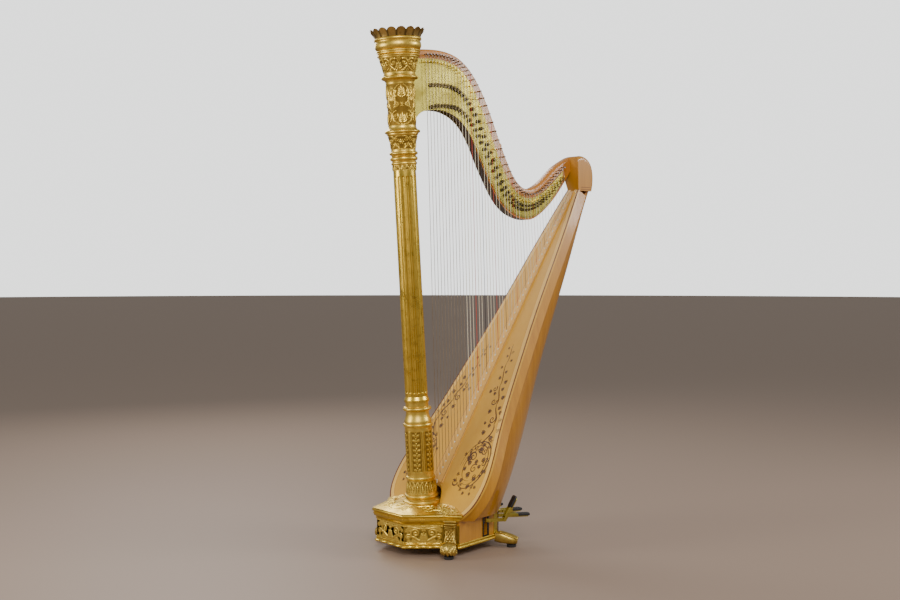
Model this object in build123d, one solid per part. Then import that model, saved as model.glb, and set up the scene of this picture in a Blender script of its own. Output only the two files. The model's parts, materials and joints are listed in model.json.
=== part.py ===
from build123d import *
import math
import os

# Concert pedal harp.  Millimetres.  +Z is up, the column stands at the front (-X),
# the player sits behind the body (+X), and the strings hang on the -Y side of the neck.
# Everything is modelled from the foot of the column, then shifted so that the
# bounding box is centred over the origin.

# ---------------------------------------------------------------- overall sizes
COLUMN_TOP = 1850.0          # top of the capital, measured along the column axis
COLUMN_LEAN = 3.65           # degrees, top towards the front
COLUMN_FOOT_X = 8.0          # where the column axis meets the floor
BOARD_LENGTH = 1410.0        # soundboard, along its slope
BOARD_ANGLE = 31.45          # degrees from the vertical
BOARD_X = 41.4               # a point on the face of the board
BOARD_Z = 195.0
BOARD_TOP_S = 1330.0         # top end of the board, along the slope from that point
BOARD_HALF_TOP = 33.0
BOARD_HALF_UPPER = 79.0      # half width a fifth of the way down
BOARD_HALF_MID = 115.0
BOARD_HALF_LOWER = 166.0
BOARD_HALF_MAX = 270.0       # half width at the wings
BOARD_HALF_END = 205.0       # half width where it meets the base
WING_S = 60.0                # the wings are widest here
WING_FALL = 42.0             # narrowing above the wings
BOARD_T = 8.0
BODY_DEPTH_TOP = 76.0        # soundbox depth behind the board
BODY_DEPTH_LOW = 262.0
BODY_WALL = 9.0
RIM_DEPTH = 42.0             # straight-sided rim behind the board
RIM_INSET = 6.0
SHELL_STEP = 9.0             # the shell sits this far inside the rim
SHELL_HALF_LOW = 205.0       # half width of the shell near the base

# ---------------------------------------------------------------- base
BASE_FRONT_X = -142.0
BASE_FRONT_HALF = 84.5
BASE_SHOULDER_X = -28.0
BASE_SHOULDER_HALF = 163.0
BASE_WIDE_X = 10.0
BASE_WIDE_HALF = 209.0
BASE_REAR_X = 235.0
BASE_REAR_HALF = 141.0
BASE_BACK_X = 300.0
BASE_WALL = 14.0
RAIL_BOTTOM = 30.0
RAIL_TOP = 48.0
RAIL_PROUD = 6.0
BOX_TOP = 126.0
CASING_TOP = 174.0           # top of the gilded casing in front of the board
CASING_LEDGE = 112.0         # underside of the casing moulding
MOULDING_PROUD = 18.0
FLOOR_T = 12.0
END_BLOCK_T = 20.0           # block that closes the soundbox at the base
FIT_GAP = 1.0                # gap between the casing and the sloping board

# ---------------------------------------------------------------- column
COLUMN_BORE = 29.0           # radius of the hollow for the pedal rods
FOOT_R = 71.0
DRUM_R = 49.0
NECKING_R = 42.0
SHAFT_R = 41.0
CAPITAL_R = 50.0
BASKET_R = 76.0
LIP_R = 85.0
CROWN_R = 99.0
CROWN_RISE = 30.0
PETALS = 17
FLUTES = 16
FLUTE_R = 5.5
DRUM_TOP = 540.0
SHAFT_TOP = 1377.0
CAPITAL_FLARE = 1530.0
CAPITAL_RING = 1700.0
COLUMN_START = 166.0

# ---------------------------------------------------------------- neck and strings
STRINGS = 47
STRING_GAP = 11.0            # string plane to the face of the near plate
PLATE_T = 3.0
NECK_T = 40.0
PIN_INSET = 21.0             # tuning pins below the top edge of the neck
PLATE_INSET = 36.0           # top edge of the plates below the top edge of the neck
PLATE_EDGE = 4.0             # plates stand back from the underside
PLATE_END_X = 695.0
PLATE_FRONT_X = -42.0        # the plates run into the side of the capital
STRING_LOW_X = 66.0          # first bass string on the board
STRING_HIGH_X = 702.0        # last treble string on the board
STRING_NECK_LOW_X = 16.0
STRING_NECK_HIGH_X = 690.0
BRIDGE_INSET_BASS = 48.0     # bridge pins below the top edge
BRIDGE_INSET_TREBLE = 50.0
SEMITONE = 2 ** (-1 / 12)
PIN_R = 2.6
BRIDGE_R = 2.2
DISC_R_BASS = 8.5
DISC_R_TREBLE = 5.0
DISC_T = 2.2
FORK_R = 0.8
BASS_DISCLESS = 2            # the lowest strings have no discs
WIRE_STRINGS = 11

# ---------------------------------------------------------------- pedals
PEDAL_NAMES = ["d", "c", "b", "e", "f", "g", "a"]
PEDAL_PITCH = 8.4
PEDAL_T = 4.0
PEDAL_H = 13.0
PEDAL_Z = 106.0              # centre of a pedal in its flat position
LEVER_BEND_X = 70.0          # the levers run straight back to here, then fan out
AXLE_X = -70.0
AXLE_R = 5.0
HUB_R = 9.0
RUN_CLEAR = 0.05             # radial clearance of a running fit
ROD_R = 2.5
ROD_TOP = 1690.0
BLADE_RISE = 24.0            # the flat end of a rod stands this far above its stud
STUD_R = 2.0
SLOT_HALF = 9.0
SLOT_DROP = 35.0             # fall of a pedal in its slot, flat to sharp
SLOT_TOP = 116.0
SLOT_BOTTOM = 54.0
SIDE_SLOT_X = 165.0
REAR_SLOT_ANGLES = [-38.0, -15.0, 11.0, 27.0, 43.0]
SIDE_PEDAL_TURN = 20.0       # outer arm of the side pedals, degrees off the centre line
HINGE_OUT = 26.0             # fold hinge of the tip beyond the wall
SIDE_HINGE_OUT = 58.0        # the same for the two side pedals
TIP_LENGTH = 84.0
TIP_W = 27.0
PIVOT_R = 2.5
FOLDED = ["d"]
FOLD_ANGLE = 62.0

# ---------------------------------------------------------------- feet and small parts
PAD_R = 17.0
PAD_H = 10.0
FOOT_W = 44.0
FRONT_FOOT_OUT = 58.0
REAR_FOOT_OUT = 62.0
HOLE_S = [250.0, 460.0, 660.0, 850.0, 1020.0]
HOLE_LENGTH = [125.0, 115.0, 105.0, 92.0, 78.0]
HOLE_HALF = [34.0, 31.0, 27.0, 22.0, 17.0]
KNOB_S = 560.0
SCREW_R = 3.0

LEAN = math.radians(COLUMN_LEAN)
SLOPE = math.radians(BOARD_ANGLE)
UX = math.sin(SLOPE)
UZ = math.cos(SLOPE)
BOARD_LOW_S = BOARD_TOP_S - BOARD_LENGTH
COLUMN_PLANE = Plane(origin=(COLUMN_FOOT_X, 0, 0), x_dir=(math.cos(LEAN), 0, math.sin(LEAN)),
                     z_dir=(-math.sin(LEAN), 0, math.cos(LEAN)))
BOARD_PLANE = Plane(origin=(BOARD_X, 0, BOARD_Z), x_dir=(UX, 0, UZ), z_dir=(UZ, 0, -UX))
NECK_PLANE = Plane(origin=(0, 0, 0), x_dir=(1, 0, 0), z_dir=(0, -1, 0))
NECK_NEAR = STRING_GAP + PLATE_T
PLATE_FACE = STRING_GAP


def board_point(s, y, depth):
    """A point s up the board, y across it and depth behind its face."""
    return (BOARD_X + s * UX + depth * UZ, y, BOARD_Z + s * UZ - depth * UX)


def board_x(z):
    """X of the board's face at a height."""
    return BOARD_X + (z - BOARD_Z) * UX / UZ


def column_x(z):
    return COLUMN_FOOT_X - z * math.tan(LEAN)


def keep_above(shape, z):
    box = Box(4000, 4000, 4000, align=(Align.CENTER, Align.CENTER, Align.MIN))
    return shape & Pos(0, 0, z) * box


def largest(shape):
    return max(shape.solids(), key=lambda solid: solid.volume)


def group(shapes):
    solids = []
    for shape in shapes:
        solids.extend(shape.solids())
    return Compound(children=solids)


def column_turn(points, bore=COLUMN_BORE):
    """Turn a profile of (radius, height) points about the column axis, with a bore."""
    low = points[0][1]
    high = points[-1][1]
    outline = [(bore, low)] + points + [(bore, high)]
    profile = Plane.XZ * make_face(Polyline(outline + [outline[0]]))
    return COLUMN_PLANE * revolve(profile, Axis.Z)


def ring_profile(centre, radius, height, inner):
    """Points for a rounded ring standing proud of a column."""
    return [(inner, centre - height / 2), (radius - height / 4, centre - height / 2),
            (radius, centre - height / 4), (radius, centre + height / 4),
            (radius - height / 4, centre + height / 2), (inner, centre + height / 2)]


# ---------------------------------------------------------------- base
def base_outline(grow):
    """Plan of the base, grown outwards by a distance."""
    half = [(BASE_FRONT_X, BASE_FRONT_HALF), (BASE_SHOULDER_X, BASE_SHOULDER_HALF),
            (BASE_WIDE_X, BASE_WIDE_HALF), (BASE_REAR_X, BASE_REAR_HALF)]
    far = [(x, y) for x, y in half]
    near = [(x, -y) for x, y in reversed(half)]
    path = Polyline(near + far)
    back = ThreePointArc(far[-1], (BASE_BACK_X, 0), near[0])
    face = make_face([path, back])
    if grow == 0:
        return face
    return offset(face, amount=grow, kind=Kind.INTERSECTION)


def base_slab(grow, low, high):
    return Pos(0, 0, low) * extrude(base_outline(grow), amount=high - low, dir=(0, 0, 1))


def front_of_board(gap):
    """Everything in front of the board's face, less a gap."""
    block = Box(3000, 3000, 3000, align=(Align.CENTER, Align.CENTER, Align.MAX))
    return BOARD_PLANE * Pos(0, 0, -gap) * block


def column_room(clear):
    """The space that the foot of the column takes out of what stands round it."""
    return COLUMN_PLANE * Cylinder(FOOT_R + clear, 700, align=(Align.CENTER, Align.CENTER, Align.MIN))


def slot_places():
    """Place and outward direction, in degrees, of each pedal slot."""
    sag = BASE_BACK_X - BASE_REAR_X
    radius = (BASE_REAR_HALF ** 2 + sag ** 2) / (2 * sag)
    centre = BASE_BACK_X - radius
    share = (SIDE_SLOT_X - BASE_WIDE_X) / (BASE_REAR_X - BASE_WIDE_X)
    side_y = BASE_WIDE_HALF + share * (BASE_REAR_HALF - BASE_WIDE_HALF)
    taper = math.degrees(math.atan2(BASE_WIDE_HALF - BASE_REAR_HALF, BASE_REAR_X - BASE_WIDE_X))
    places = [(SIDE_SLOT_X, -side_y, -90 + taper)]
    for angle in REAR_SLOT_ANGLES:
        turn = math.radians(angle)
        places.append((centre + radius * math.cos(turn), radius * math.sin(turn), angle))
    places.append((SIDE_SLOT_X, side_y, 90 - taper))
    return places


def slot_box(place, half, low, high, inner, outer):
    """A block through the wall at a slot, from inner to outer of the wall's face."""
    x, y, angle = place
    block = Box(outer - inner, 2 * half, high - low, align=(Align.MIN, Align.CENTER, Align.MIN))
    return Pos(x, y, low) * Rot(0, 0, angle) * Pos(inner, 0, 0) * block


def slot_opening(place, inner, outer):
    """A stepped slot: a tall gap with a notch to one side for each lower position."""
    step = SLOT_DROP / 2
    side = -1 if place[1] < 0 else 1
    tall = slot_box(place, SLOT_HALF, SLOT_BOTTOM, SLOT_TOP, inner, outer)
    x, y, angle = place
    notch = Box(outer - inner, 6, SLOT_TOP - step - SLOT_BOTTOM - 2,
                align=(Align.MIN, Align.CENTER, Align.MIN))
    notch = Pos(x, y, SLOT_BOTTOM) * Rot(0, 0, angle) * Pos(inner, side * (SLOT_HALF + 2), 0) * notch
    return tall + notch


def base_box():
    shell = base_slab(0, RAIL_TOP, BOX_TOP) - base_slab(-BASE_WALL, RAIL_TOP, BOX_TOP)
    for place in slot_places():
        shell -= slot_opening(place, -60, 30)
    return shell


def base_bottom_rail():
    return base_slab(RAIL_PROUD, RAIL_BOTTOM, RAIL_TOP) - base_slab(-BASE_WALL, RAIL_BOTTOM, RAIL_TOP)


def base_floor_board():
    return base_slab(-BASE_WALL, RAIL_BOTTOM + 2, RAIL_BOTTOM + 2 + FLOOR_T)


def base_top_board():
    """Deck that closes the box, behind the casing, with a hole for the rods."""
    deck = base_slab(-BASE_WALL, BOX_TOP - 10, BOX_TOP)
    rods = Pos(column_x(BOX_TOP), 0, BOX_TOP - 20) * Cylinder(
        COLUMN_BORE + 6, 60, align=(Align.CENTER, Align.CENTER, Align.MIN))
    for place in slot_places():
        deck -= slot_box(place, SLOT_HALF + 4, BOX_TOP - 12, BOX_TOP - 6, -40, 0)
    return deck - rods


def base_casing():
    """Gilded casing: a moulding round the front of the base, with its apron and top."""
    body = base_slab(MOULDING_PROUD * 0.35, BOX_TOP, BOX_TOP + 8)
    body += base_slab(MOULDING_PROUD, BOX_TOP + 8, CASING_TOP - 22)
    body += base_slab(MOULDING_PROUD * 0.7, CASING_TOP - 22, CASING_TOP - 12)
    body += base_slab(MOULDING_PROUD * 0.3, CASING_TOP - 12, CASING_TOP)
    apron = base_slab(6.0, CASING_LEDGE, BOX_TOP) - base_slab(0, CASING_LEDGE, BOX_TOP)
    front = Box(1000, 1000, 400, align=(Align.MAX, Align.CENTER, Align.MIN))
    body = body & front_of_board(FIT_GAP)
    body += apron & Pos(board_x(BOX_TOP), 0, 0) * front
    hollow = Pos(column_x(BOX_TOP), 0, BOX_TOP - 1) * Cylinder(
        COLUMN_BORE + 6, CASING_TOP, align=(Align.CENTER, Align.CENTER, Align.MIN))
    return body - hollow


def base_panels():
    """Carved gilt panels on the front facets, under the moulding."""
    band = base_slab(3.0, RAIL_TOP, CASING_LEDGE) - base_slab(0, RAIL_TOP, CASING_LEDGE)
    front = Box(1000, 1000, 400, align=(Align.MAX, Align.CENTER, Align.MIN))
    return band & Pos(BASE_WIDE_X - 2, 0, 0) * front


def pedal_slot_plates():
    plates = []
    for place in slot_places():
        plate = slot_box(place, SLOT_HALF + 10, RAIL_TOP + 1, SLOT_TOP + 5, 0.3, 2.6)
        plate -= slot_opening(place, -5, 5)
        plates.append(plate)
    return group(plates)


def slot_felts():
    felts = []
    for place in slot_places():
        felts.append(slot_box(place, SLOT_HALF - 0.5, SLOT_TOP - 3.0, SLOT_TOP, -BASE_WALL + 1, -0.5))
    return group(felts)


def facet_foot_frame(side):
    """Frame at the middle of the facet that carries a front foot, X pointing outwards."""
    x = (BASE_SHOULDER_X + BASE_WIDE_X) / 2
    y = side * (BASE_SHOULDER_HALF + BASE_WIDE_HALF) / 2
    dx = BASE_WIDE_X - BASE_SHOULDER_X
    dy = BASE_WIDE_HALF - BASE_SHOULDER_HALF
    angle = math.degrees(math.atan2(side * dx, -dy))
    return x, y, angle


def rear_foot_frame(side):
    return BASE_REAR_X - 8, side * (BASE_REAR_HALF - 2), side * 47.0


def front_foot(side):
    """Scrolled bracket foot: a volute at the floor and a tapering stem up the facet."""
    x, y, angle = facet_foot_frame(side)
    volute_r = 21.0
    out = FRONT_FOOT_OUT - volute_r
    volute = Pos(out, PAD_H + volute_r) * Circle(volute_r)
    stem = make_face(Polyline((7, RAIL_TOP - 6), (out, PAD_H + 2), (out + volute_r - 2, PAD_H + volute_r),
                              (30, 92), (24, BOX_TOP + 6), (7, BOX_TOP + 6), (7, RAIL_TOP - 6)))
    head = Pos(20, BOX_TOP - 6) * Circle(12)
    sketch = volute + stem + (head & Pos(27, BOX_TOP - 6) * Rectangle(40, 40))
    foot = extrude(Plane.XZ * sketch, amount=FOOT_W / 2, both=True)
    return Pos(x, y, 0) * Rot(0, 0, angle) * foot


def rear_foot(side):
    """Low wedge foot running out from the rear corner of the base."""
    x, y, angle = rear_foot_frame(side)
    toe = REAR_FOOT_OUT + 26
    outline = make_face(Polyline((-22, PAD_H), (toe - 6, PAD_H), (toe, PAD_H + 8), (toe - 4, PAD_H + 26),
                                 (toe - 18, PAD_H + 33), (16, RAIL_TOP + 8), (10, RAIL_TOP + 8),
                                 (10, RAIL_BOTTOM - 0.5), (-22, RAIL_BOTTOM - 0.5), (-22, PAD_H)))
    foot = extrude(Plane.XZ * outline, amount=FOOT_W / 2, both=True)
    foot = Pos(x, y, 0) * Rot(0, 0, angle) * foot
    return foot - base_slab(RAIL_PROUD + 0.2, RAIL_BOTTOM - 0.5, RAIL_TOP + 40)


def pad_places():
    places = []
    for side in (-1, 1):
        x, y, angle = facet_foot_frame(side)
        out = FRONT_FOOT_OUT - PAD_R - 4
        turn = math.radians(angle)
        places.append((x + out * math.cos(turn), y + out * math.sin(turn)))
    for side in (-1, 1):
        x, y, angle = rear_foot_frame(side)
        turn = math.radians(angle)
        places.append((x + REAR_FOOT_OUT * math.cos(turn), y + REAR_FOOT_OUT * math.sin(turn)))
    return places


def foot_pads():
    pads = []
    for x, y in pad_places():
        pad = Cylinder(PAD_R, PAD_H, align=(Align.CENTER, Align.CENTER, Align.MIN))
        pads.append(Pos(x, y, 0) * chamfer(pad.edges().group_by(Axis.Z)[0], 1.5))
    return group(pads)


# ---------------------------------------------------------------- column
def column_base_drum():
    profile = [(FOOT_R, COLUMN_START), (FOOT_R, 182), (FOOT_R - 8, 186), (FOOT_R - 14, 188)]
    profile += ring_profile(196, FOOT_R - 9, 12, FOOT_R - 14)
    profile += [(FOOT_R - 14, 212), (DRUM_R, 252)]
    profile += ring_profile(262, DRUM_R + 5.5, 10, DRUM_R)
    profile += [(DRUM_R, 284), (DRUM_R, 438)]
    profile += ring_profile(456, DRUM_R + 5, 12, DRUM_R)
    profile += [(DRUM_R + 1, 470), (NECKING_R, 498)]
    profile += ring_profile(515, NECKING_R + 10, 14, NECKING_R)
    profile += [(NECKING_R, DRUM_TOP)]
    drum = column_turn(profile)
    return keep_above(drum, CASING_TOP)


def column_shaft():
    base_r = NECKING_R + 3.5
    profile = [(base_r, DRUM_TOP), (base_r, DRUM_TOP + 8), (SHAFT_R, DRUM_TOP + 20), (SHAFT_R, SHAFT_TOP)]
    shaft = column_turn(profile)
    length = SHAFT_TOP - DRUM_TOP - 60
    cutters = []
    for index in range(FLUTES):
        angle = 360 * index / FLUTES
        rod = Cylinder(FLUTE_R, length) + Pos(0, 0, length / 2) * Sphere(FLUTE_R)
        rod += Pos(0, 0, -length / 2) * Sphere(FLUTE_R)
        middle = DRUM_TOP + 36 + length / 2
        cutters.append(Rot(0, 0, angle) * Pos(SHAFT_R + FLUTE_R * 0.25, 0, middle) * rod)
    return shaft - [COLUMN_PLANE * cutter for cutter in cutters]


def capital_profile():
    profile = [(SHAFT_R + 2, SHAFT_TOP), (SHAFT_R + 5, SHAFT_TOP + 10), (SHAFT_R + 1, SHAFT_TOP + 18)]
    profile += ring_profile(1402, SHAFT_R + 5, 10, SHAFT_R + 1)
    profile += ring_profile(1420, SHAFT_R + 8, 10, SHAFT_R + 1)
    profile += ring_profile(1438, SHAFT_R + 10, 10, SHAFT_R + 1)
    profile += [(SHAFT_R + 3, 1450), (SHAFT_R + 7, 1475), (SHAFT_R + 14, 1502)]
    profile += ring_profile(1516, SHAFT_R + 23, 16, CAPITAL_R + 2)
    profile += [(CAPITAL_R, CAPITAL_FLARE), (CAPITAL_R + 2, 1610), (CAPITAL_R + 1, 1690)]
    profile += ring_profile(CAPITAL_RING + 8, CAPITAL_R + 16, 14, CAPITAL_R + 4)
    profile += [(CAPITAL_R + 8, 1722), (CAPITAL_R + 14, 1750), (BASKET_R - 1, 1783)]
    profile += [(BASKET_R, 1796), (LIP_R - 4, 1805), (LIP_R - 2, 1826), (LIP_R, 1834), (LIP_R, COLUMN_TOP)]
    return profile


def column_capital():
    return column_turn(capital_profile())


def crown():
    """Ring of flared petals with a scalloped edge, and a plate that closes the column."""
    low = COLUMN_TOP
    wall = 5.0
    flare = make_face(Polyline((LIP_R - 14, low), (LIP_R - 1, low), (CROWN_R - 4, low + CROWN_RISE * 0.6),
                               (CROWN_R, low + CROWN_RISE), (CROWN_R - wall, low + CROWN_RISE),
                               (CROWN_R - 4 - wall, low + CROWN_RISE * 0.6), (LIP_R - 8, low + 6),
                               (LIP_R - 14, low + 6), (LIP_R - 14, low)))
    shape = revolve(Plane.XZ * flare, Axis.Z)
    shape += Pos(0, 0, low) * Cylinder(LIP_R - 13, 6, align=(Align.CENTER, Align.CENTER, Align.MIN))
    notch_r = math.pi * CROWN_R / PETALS * 0.42
    for index in range(PETALS):
        angle = 360 * (index + 0.5) / PETALS
        notch = Rot(0, 90, 0) * Cylinder(notch_r, 60)
        shape -= Rot(0, 0, angle) * Pos(CROWN_R, 0, low + CROWN_RISE + notch_r * 0.25) * notch
    return COLUMN_PLANE * shape


def rod_places():
    """Offset from the column centre of each pedal rod, across the harp."""
    return [(index - 3) * PEDAL_PITCH for index in range(len(PEDAL_NAMES))]


def rod_guides():
    """Bored brass discs that hold the rods apart inside the column."""
    guides = []
    for height in (330.0, 700.0, 1060.0, 1420.0):
        disc = Cylinder(COLUMN_BORE, 8)
        for offset_y in rod_places():
            disc -= Pos(0, offset_y, 0) * Cylinder(ROD_R + RUN_CLEAR, 20)
        guides.append(COLUMN_PLANE * Pos(0, 0, height) * disc)
    return group(guides)


# ---------------------------------------------------------------- soundbox
def board_side(grow):
    """Edge of the board, from the top down, in the board's own plane."""
    return [(BOARD_TOP_S + 8, BOARD_HALF_TOP + grow), (1060, BOARD_HALF_UPPER + grow),
            (800, BOARD_HALF_MID + grow), (520, BOARD_HALF_LOWER + grow),
            (WING_S + 190, BOARD_HALF_MAX - WING_FALL + grow), (WING_S, BOARD_HALF_MAX + grow),
            (WING_S - 95, BOARD_HALF_MAX - 24 + grow), (BOARD_LOW_S, BOARD_HALF_END + grow)]


def board_outline(grow):
    side = board_side(grow)
    left = Spline(side)
    right = Spline([(s, -y) for s, y in side])
    top = Line(side[0], (side[0][0], -side[0][1]))
    end = Line(side[-1], (side[-1][0], -side[-1][1]))
    return make_face([left, top, right, end])


SIDE_EDGE = Spline(board_side(0))


def board_half(s):
    """Half width of the board at a place up its slope."""
    low = 0.0
    high = 1.0
    for _ in range(30):
        middle = (low + high) / 2
        if SIDE_EDGE.position_at(middle).X > s:
            low = middle
        else:
            high = middle
    return SIDE_EDGE.position_at(middle).Y


def raise_back(face, start, thickness):
    """A board-plane face made solid, from a depth behind the board's face."""
    return BOARD_PLANE * Pos(0, 0, start) * extrude(face, amount=thickness, dir=(0, 0, 1))


def above_base(shape):
    """Trim what stands on the box and ends under the shoulder."""
    span = body_top_z() - BOX_TOP
    slab = Box(4000, 4000, span, align=(Align.CENTER, Align.CENTER, Align.MIN))
    return shape & Pos(0, 0, BOX_TOP) * slab


def body_top_z():
    return BOARD_Z + BOARD_TOP_S * UZ


def soundboard():
    return above_base(raise_back(board_outline(0), 0, BOARD_T)) - column_room(2.0)


def body_rim():
    """Straight-sided rim that follows the edge of the board."""
    rim = above_base(raise_back(board_outline(-RIM_INSET), BOARD_T, RIM_DEPTH))
    return rim - shell_solid(BODY_WALL, BOARD_T - 5) - column_room(2.0)


def shell_section(s, half, depth, start):
    """Round-backed section of the soundbox at a place up the board."""
    plane = Plane(origin=board_point(s, 0, start), x_dir=(0, 1, 0), z_dir=(UX, 0, UZ))
    back = -(depth - start)
    curve = Spline((half, 0), (half * 0.88, back * 0.42), (half * 0.5, back * 0.86), (0, back),
                   (-half * 0.5, back * 0.86), (-half * 0.88, back * 0.42), (-half, 0))
    return plane * make_face([curve, Line((-half, 0), (half, 0))])


def shell_depth(s):
    slope = (BODY_DEPTH_LOW - BODY_DEPTH_TOP) / (BOARD_TOP_S - 50)
    return BODY_DEPTH_TOP + slope * (BOARD_TOP_S - s)


def shell_half(s):
    """Half width of the round back: inside the rim above, narrower than the wings below."""
    wide = board_half(min(max(s, 260), BOARD_TOP_S)) - RIM_INSET - SHELL_STEP
    if s > BOARD_TOP_S:
        wide -= 3
    if s < WING_S:
        wide = SHELL_HALF_LOW
    return wide


def shell_solid(inset, start):
    """Outer form of the soundbox, shrunk by an inset, from a depth behind the board's face."""
    sections = []
    for s in (BOARD_LOW_S - 170, BOARD_LOW_S + 60, 270, 540, 820, 1090, BOARD_TOP_S + 60):
        sections.append(shell_section(s, shell_half(s) - inset, shell_depth(s) - inset, start))
    return loft(sections, ruled=False)


def body_shell():
    outer = above_base(shell_solid(0, BOARD_T + RIM_DEPTH))
    inner = shell_solid(BODY_WALL, BOARD_T)
    return outer - inner - sound_holes() - rest_knob()


def sound_holes():
    """Long rounded openings down the middle of the back."""
    holes = []
    for s, length, half in zip(HOLE_S, HOLE_LENGTH, HOLE_HALF):
        holes.append(raise_back(Pos(s, 0) * SlotOverall(length, 2 * half), BOARD_T + 60, BODY_DEPTH_LOW))
    return holes


def body_end_block():
    inner = above_base(shell_solid(BODY_WALL, BOARD_T))
    low = Box(4000, 4000, END_BLOCK_T, align=(Align.CENTER, Align.CENTER, Align.MIN))
    return (inner & Pos(0, 0, BOX_TOP) * low) - column_room(2.0) - body_rim()


def rest_knob():
    """Small black knob on the right of the back."""
    knob = Cylinder(4, 14, align=(Align.CENTER, Align.CENTER, Align.MIN))
    knob += Pos(0, 0, 14) * Cylinder(9, 8, align=(Align.CENTER, Align.CENTER, Align.MIN))
    return BOARD_PLANE * Pos(KNOB_S, 0, shell_depth(KNOB_S) - 3) * knob


# ---------------------------------------------------------------- neck
def neck_top_points():
    return [(0, 1821), (90, 1825), (181, 1803), (276, 1709), (373, 1516), (423, 1415),
            (473, 1348), (508, 1331), (549, 1339), (653, 1418), (733, 1463)]


def neck_bottom_points():
    return [(736, 1408), (680, 1332), (627, 1275), (575, 1234), (520, 1211), (473, 1216), (423, 1235),
            (373, 1276), (324, 1347), (276, 1432), (181, 1581), (108, 1612), (40, 1611), (-20, 1578),
            (-40, 1530)]


def neck_face():
    top = Spline(neck_top_points())
    bottom = Spline(neck_bottom_points())
    ends = Polyline((-40, 1530), (column_x(1530) + 5, 1530), (column_x(1821) + 5, 1821), (0, 1821))
    joint = Line((733, 1463), (736, 1408))
    return make_face([top, joint, bottom, ends])


def in_neck(face, low, high):
    """Raise a face drawn in the plane of the neck, from one distance across to another."""
    return Pos(0, high, 0) * extrude(NECK_PLANE * face, amount=high - low, dir=(0, -1, 0))


def neck():
    body = in_neck(neck_face(), NECK_NEAR, NECK_NEAR + NECK_T)
    body -= column_envelope()
    holes = [pin_body(index) for index in range(STRINGS)]
    holes += [bridge_pin(index) for index in range(STRINGS)]
    return largest(body) - holes


def column_envelope():
    """The capital as a filled solid, to cut what joins it."""
    return column_turn(capital_profile(), bore=0)


def shoulder_block():
    """Rounded block that joins the neck to the top of the soundbox."""
    low = body_top_z()
    curve = Spline((733, 1463), (768, 1467), (803, 1447), (821, 1404), (816, low))
    face = make_face([curve, Polyline((816, low), (738, low), (736, 1408), (733, 1463))])
    block = in_neck(face, -BOARD_HALF_TOP, NECK_NEAR + NECK_T)
    edges = block.edges().filter_by(GeomType.BSPLINE)
    block = fillet(edges, 16)
    waste = Polyline((BOARD_HALF_TOP, low - 1), (BOARD_HALF_TOP, low + 8), (NECK_NEAR + NECK_T, low + 60),
                     (NECK_NEAR + NECK_T + 1, low - 1), close=True)
    return block - extrude(Plane.YZ * make_face(waste), amount=900)


def string_x_at_neck(index):
    """Index 0 is the lowest bass string."""
    return STRING_NECK_LOW_X + (STRING_NECK_HIGH_X - STRING_NECK_LOW_X) * index / (STRINGS - 1)


def string_foot(index):
    x = STRING_LOW_X + (STRING_HIGH_X - STRING_LOW_X) * index / (STRINGS - 1)
    s = (x - BOARD_X) / UX
    return x, BOARD_Z + s * UZ


TOP_EDGE = Spline(neck_top_points())


def below_top_edge(x, inset):
    """Height at an X of the line that runs inside the top edge at a distance."""
    low = 0.0
    high = 1.0
    for _ in range(30):
        middle = (low + high) / 2
        place = TOP_EDGE.position_at(middle)
        along = TOP_EDGE.tangent_at(middle)
        if place.X + along.Y * inset < x:
            low = middle
        else:
            high = middle
    return place.Y - along.X * inset


def tuning_height(index):
    return below_top_edge(string_x_at_neck(index), PIN_INSET)


def bridge_height(index):
    inset = BRIDGE_INSET_BASS + (BRIDGE_INSET_TREBLE - BRIDGE_INSET_BASS) * index / (STRINGS - 1)
    return below_top_edge(string_x_at_neck(index), inset)


def string_radius(index):
    if index < WIRE_STRINGS:
        return 0.95
    return 1.15 - 0.80 * (index - WIRE_STRINGS) / (STRINGS - WIRE_STRINGS)


def string_point(index, height):
    """A point on a string's line at a height."""
    foot_x, foot_z = string_foot(index)
    neck_x = string_x_at_neck(index)
    share = (height - foot_z) / (bridge_height(index) - foot_z)
    return foot_x + (neck_x - foot_x) * share


def rod_between(start, end, radius):
    """A round bar from one point to another."""
    direction = Vector(*end) - Vector(*start)
    plane = Plane(origin=start, z_dir=direction)
    return plane * Cylinder(radius, direction.length, align=(Align.CENTER, Align.CENTER, Align.MIN))


def harp_string(index):
    foot_x, foot_z = string_foot(index)
    low = foot_z + 1.2 + 2 * string_radius(index)
    high = tuning_height(index)
    return rod_between((string_point(index, low), 0, low), (string_point(index, high), 0, high),
                       string_radius(index))


def pin_body(index):
    """Tuning pin, right through the neck."""
    z = tuning_height(index)
    x = string_point(index, z) + string_radius(index) + PIN_R
    return rod_between((x, -8, z), (x, NECK_NEAR + NECK_T + 22, z), PIN_R)


def tuning_pins():
    pins = []
    for index in range(STRINGS):
        z = tuning_height(index)
        x = string_point(index, z) + string_radius(index) + PIN_R
        square = Pos(x, NECK_NEAR + NECK_T + 15, z) * Box(PIN_R * 2.4, 14, PIN_R * 2.4)
        pins.append(pin_body(index) + square)
    return group(pins)


def bridge_pin(index):
    z = bridge_height(index)
    x = string_point(index, z) - string_radius(index) - BRIDGE_R
    return rod_between((x, -5, z), (x, NECK_NEAR + 4, z), BRIDGE_R)


def disc_size(index):
    """The rows draw together in the treble, so the discs there are limited by the gap."""
    gap = disc_height(index, SEMITONE) - disc_height(index, SEMITONE ** 2)
    return min(DISC_R_BASS + (DISC_R_TREBLE - DISC_R_BASS) * index / (STRINGS - 1), gap * 0.47)


def disc_height(index, share):
    foot_x, foot_z = string_foot(index)
    return foot_z + (bridge_height(index) - foot_z) * share


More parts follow.
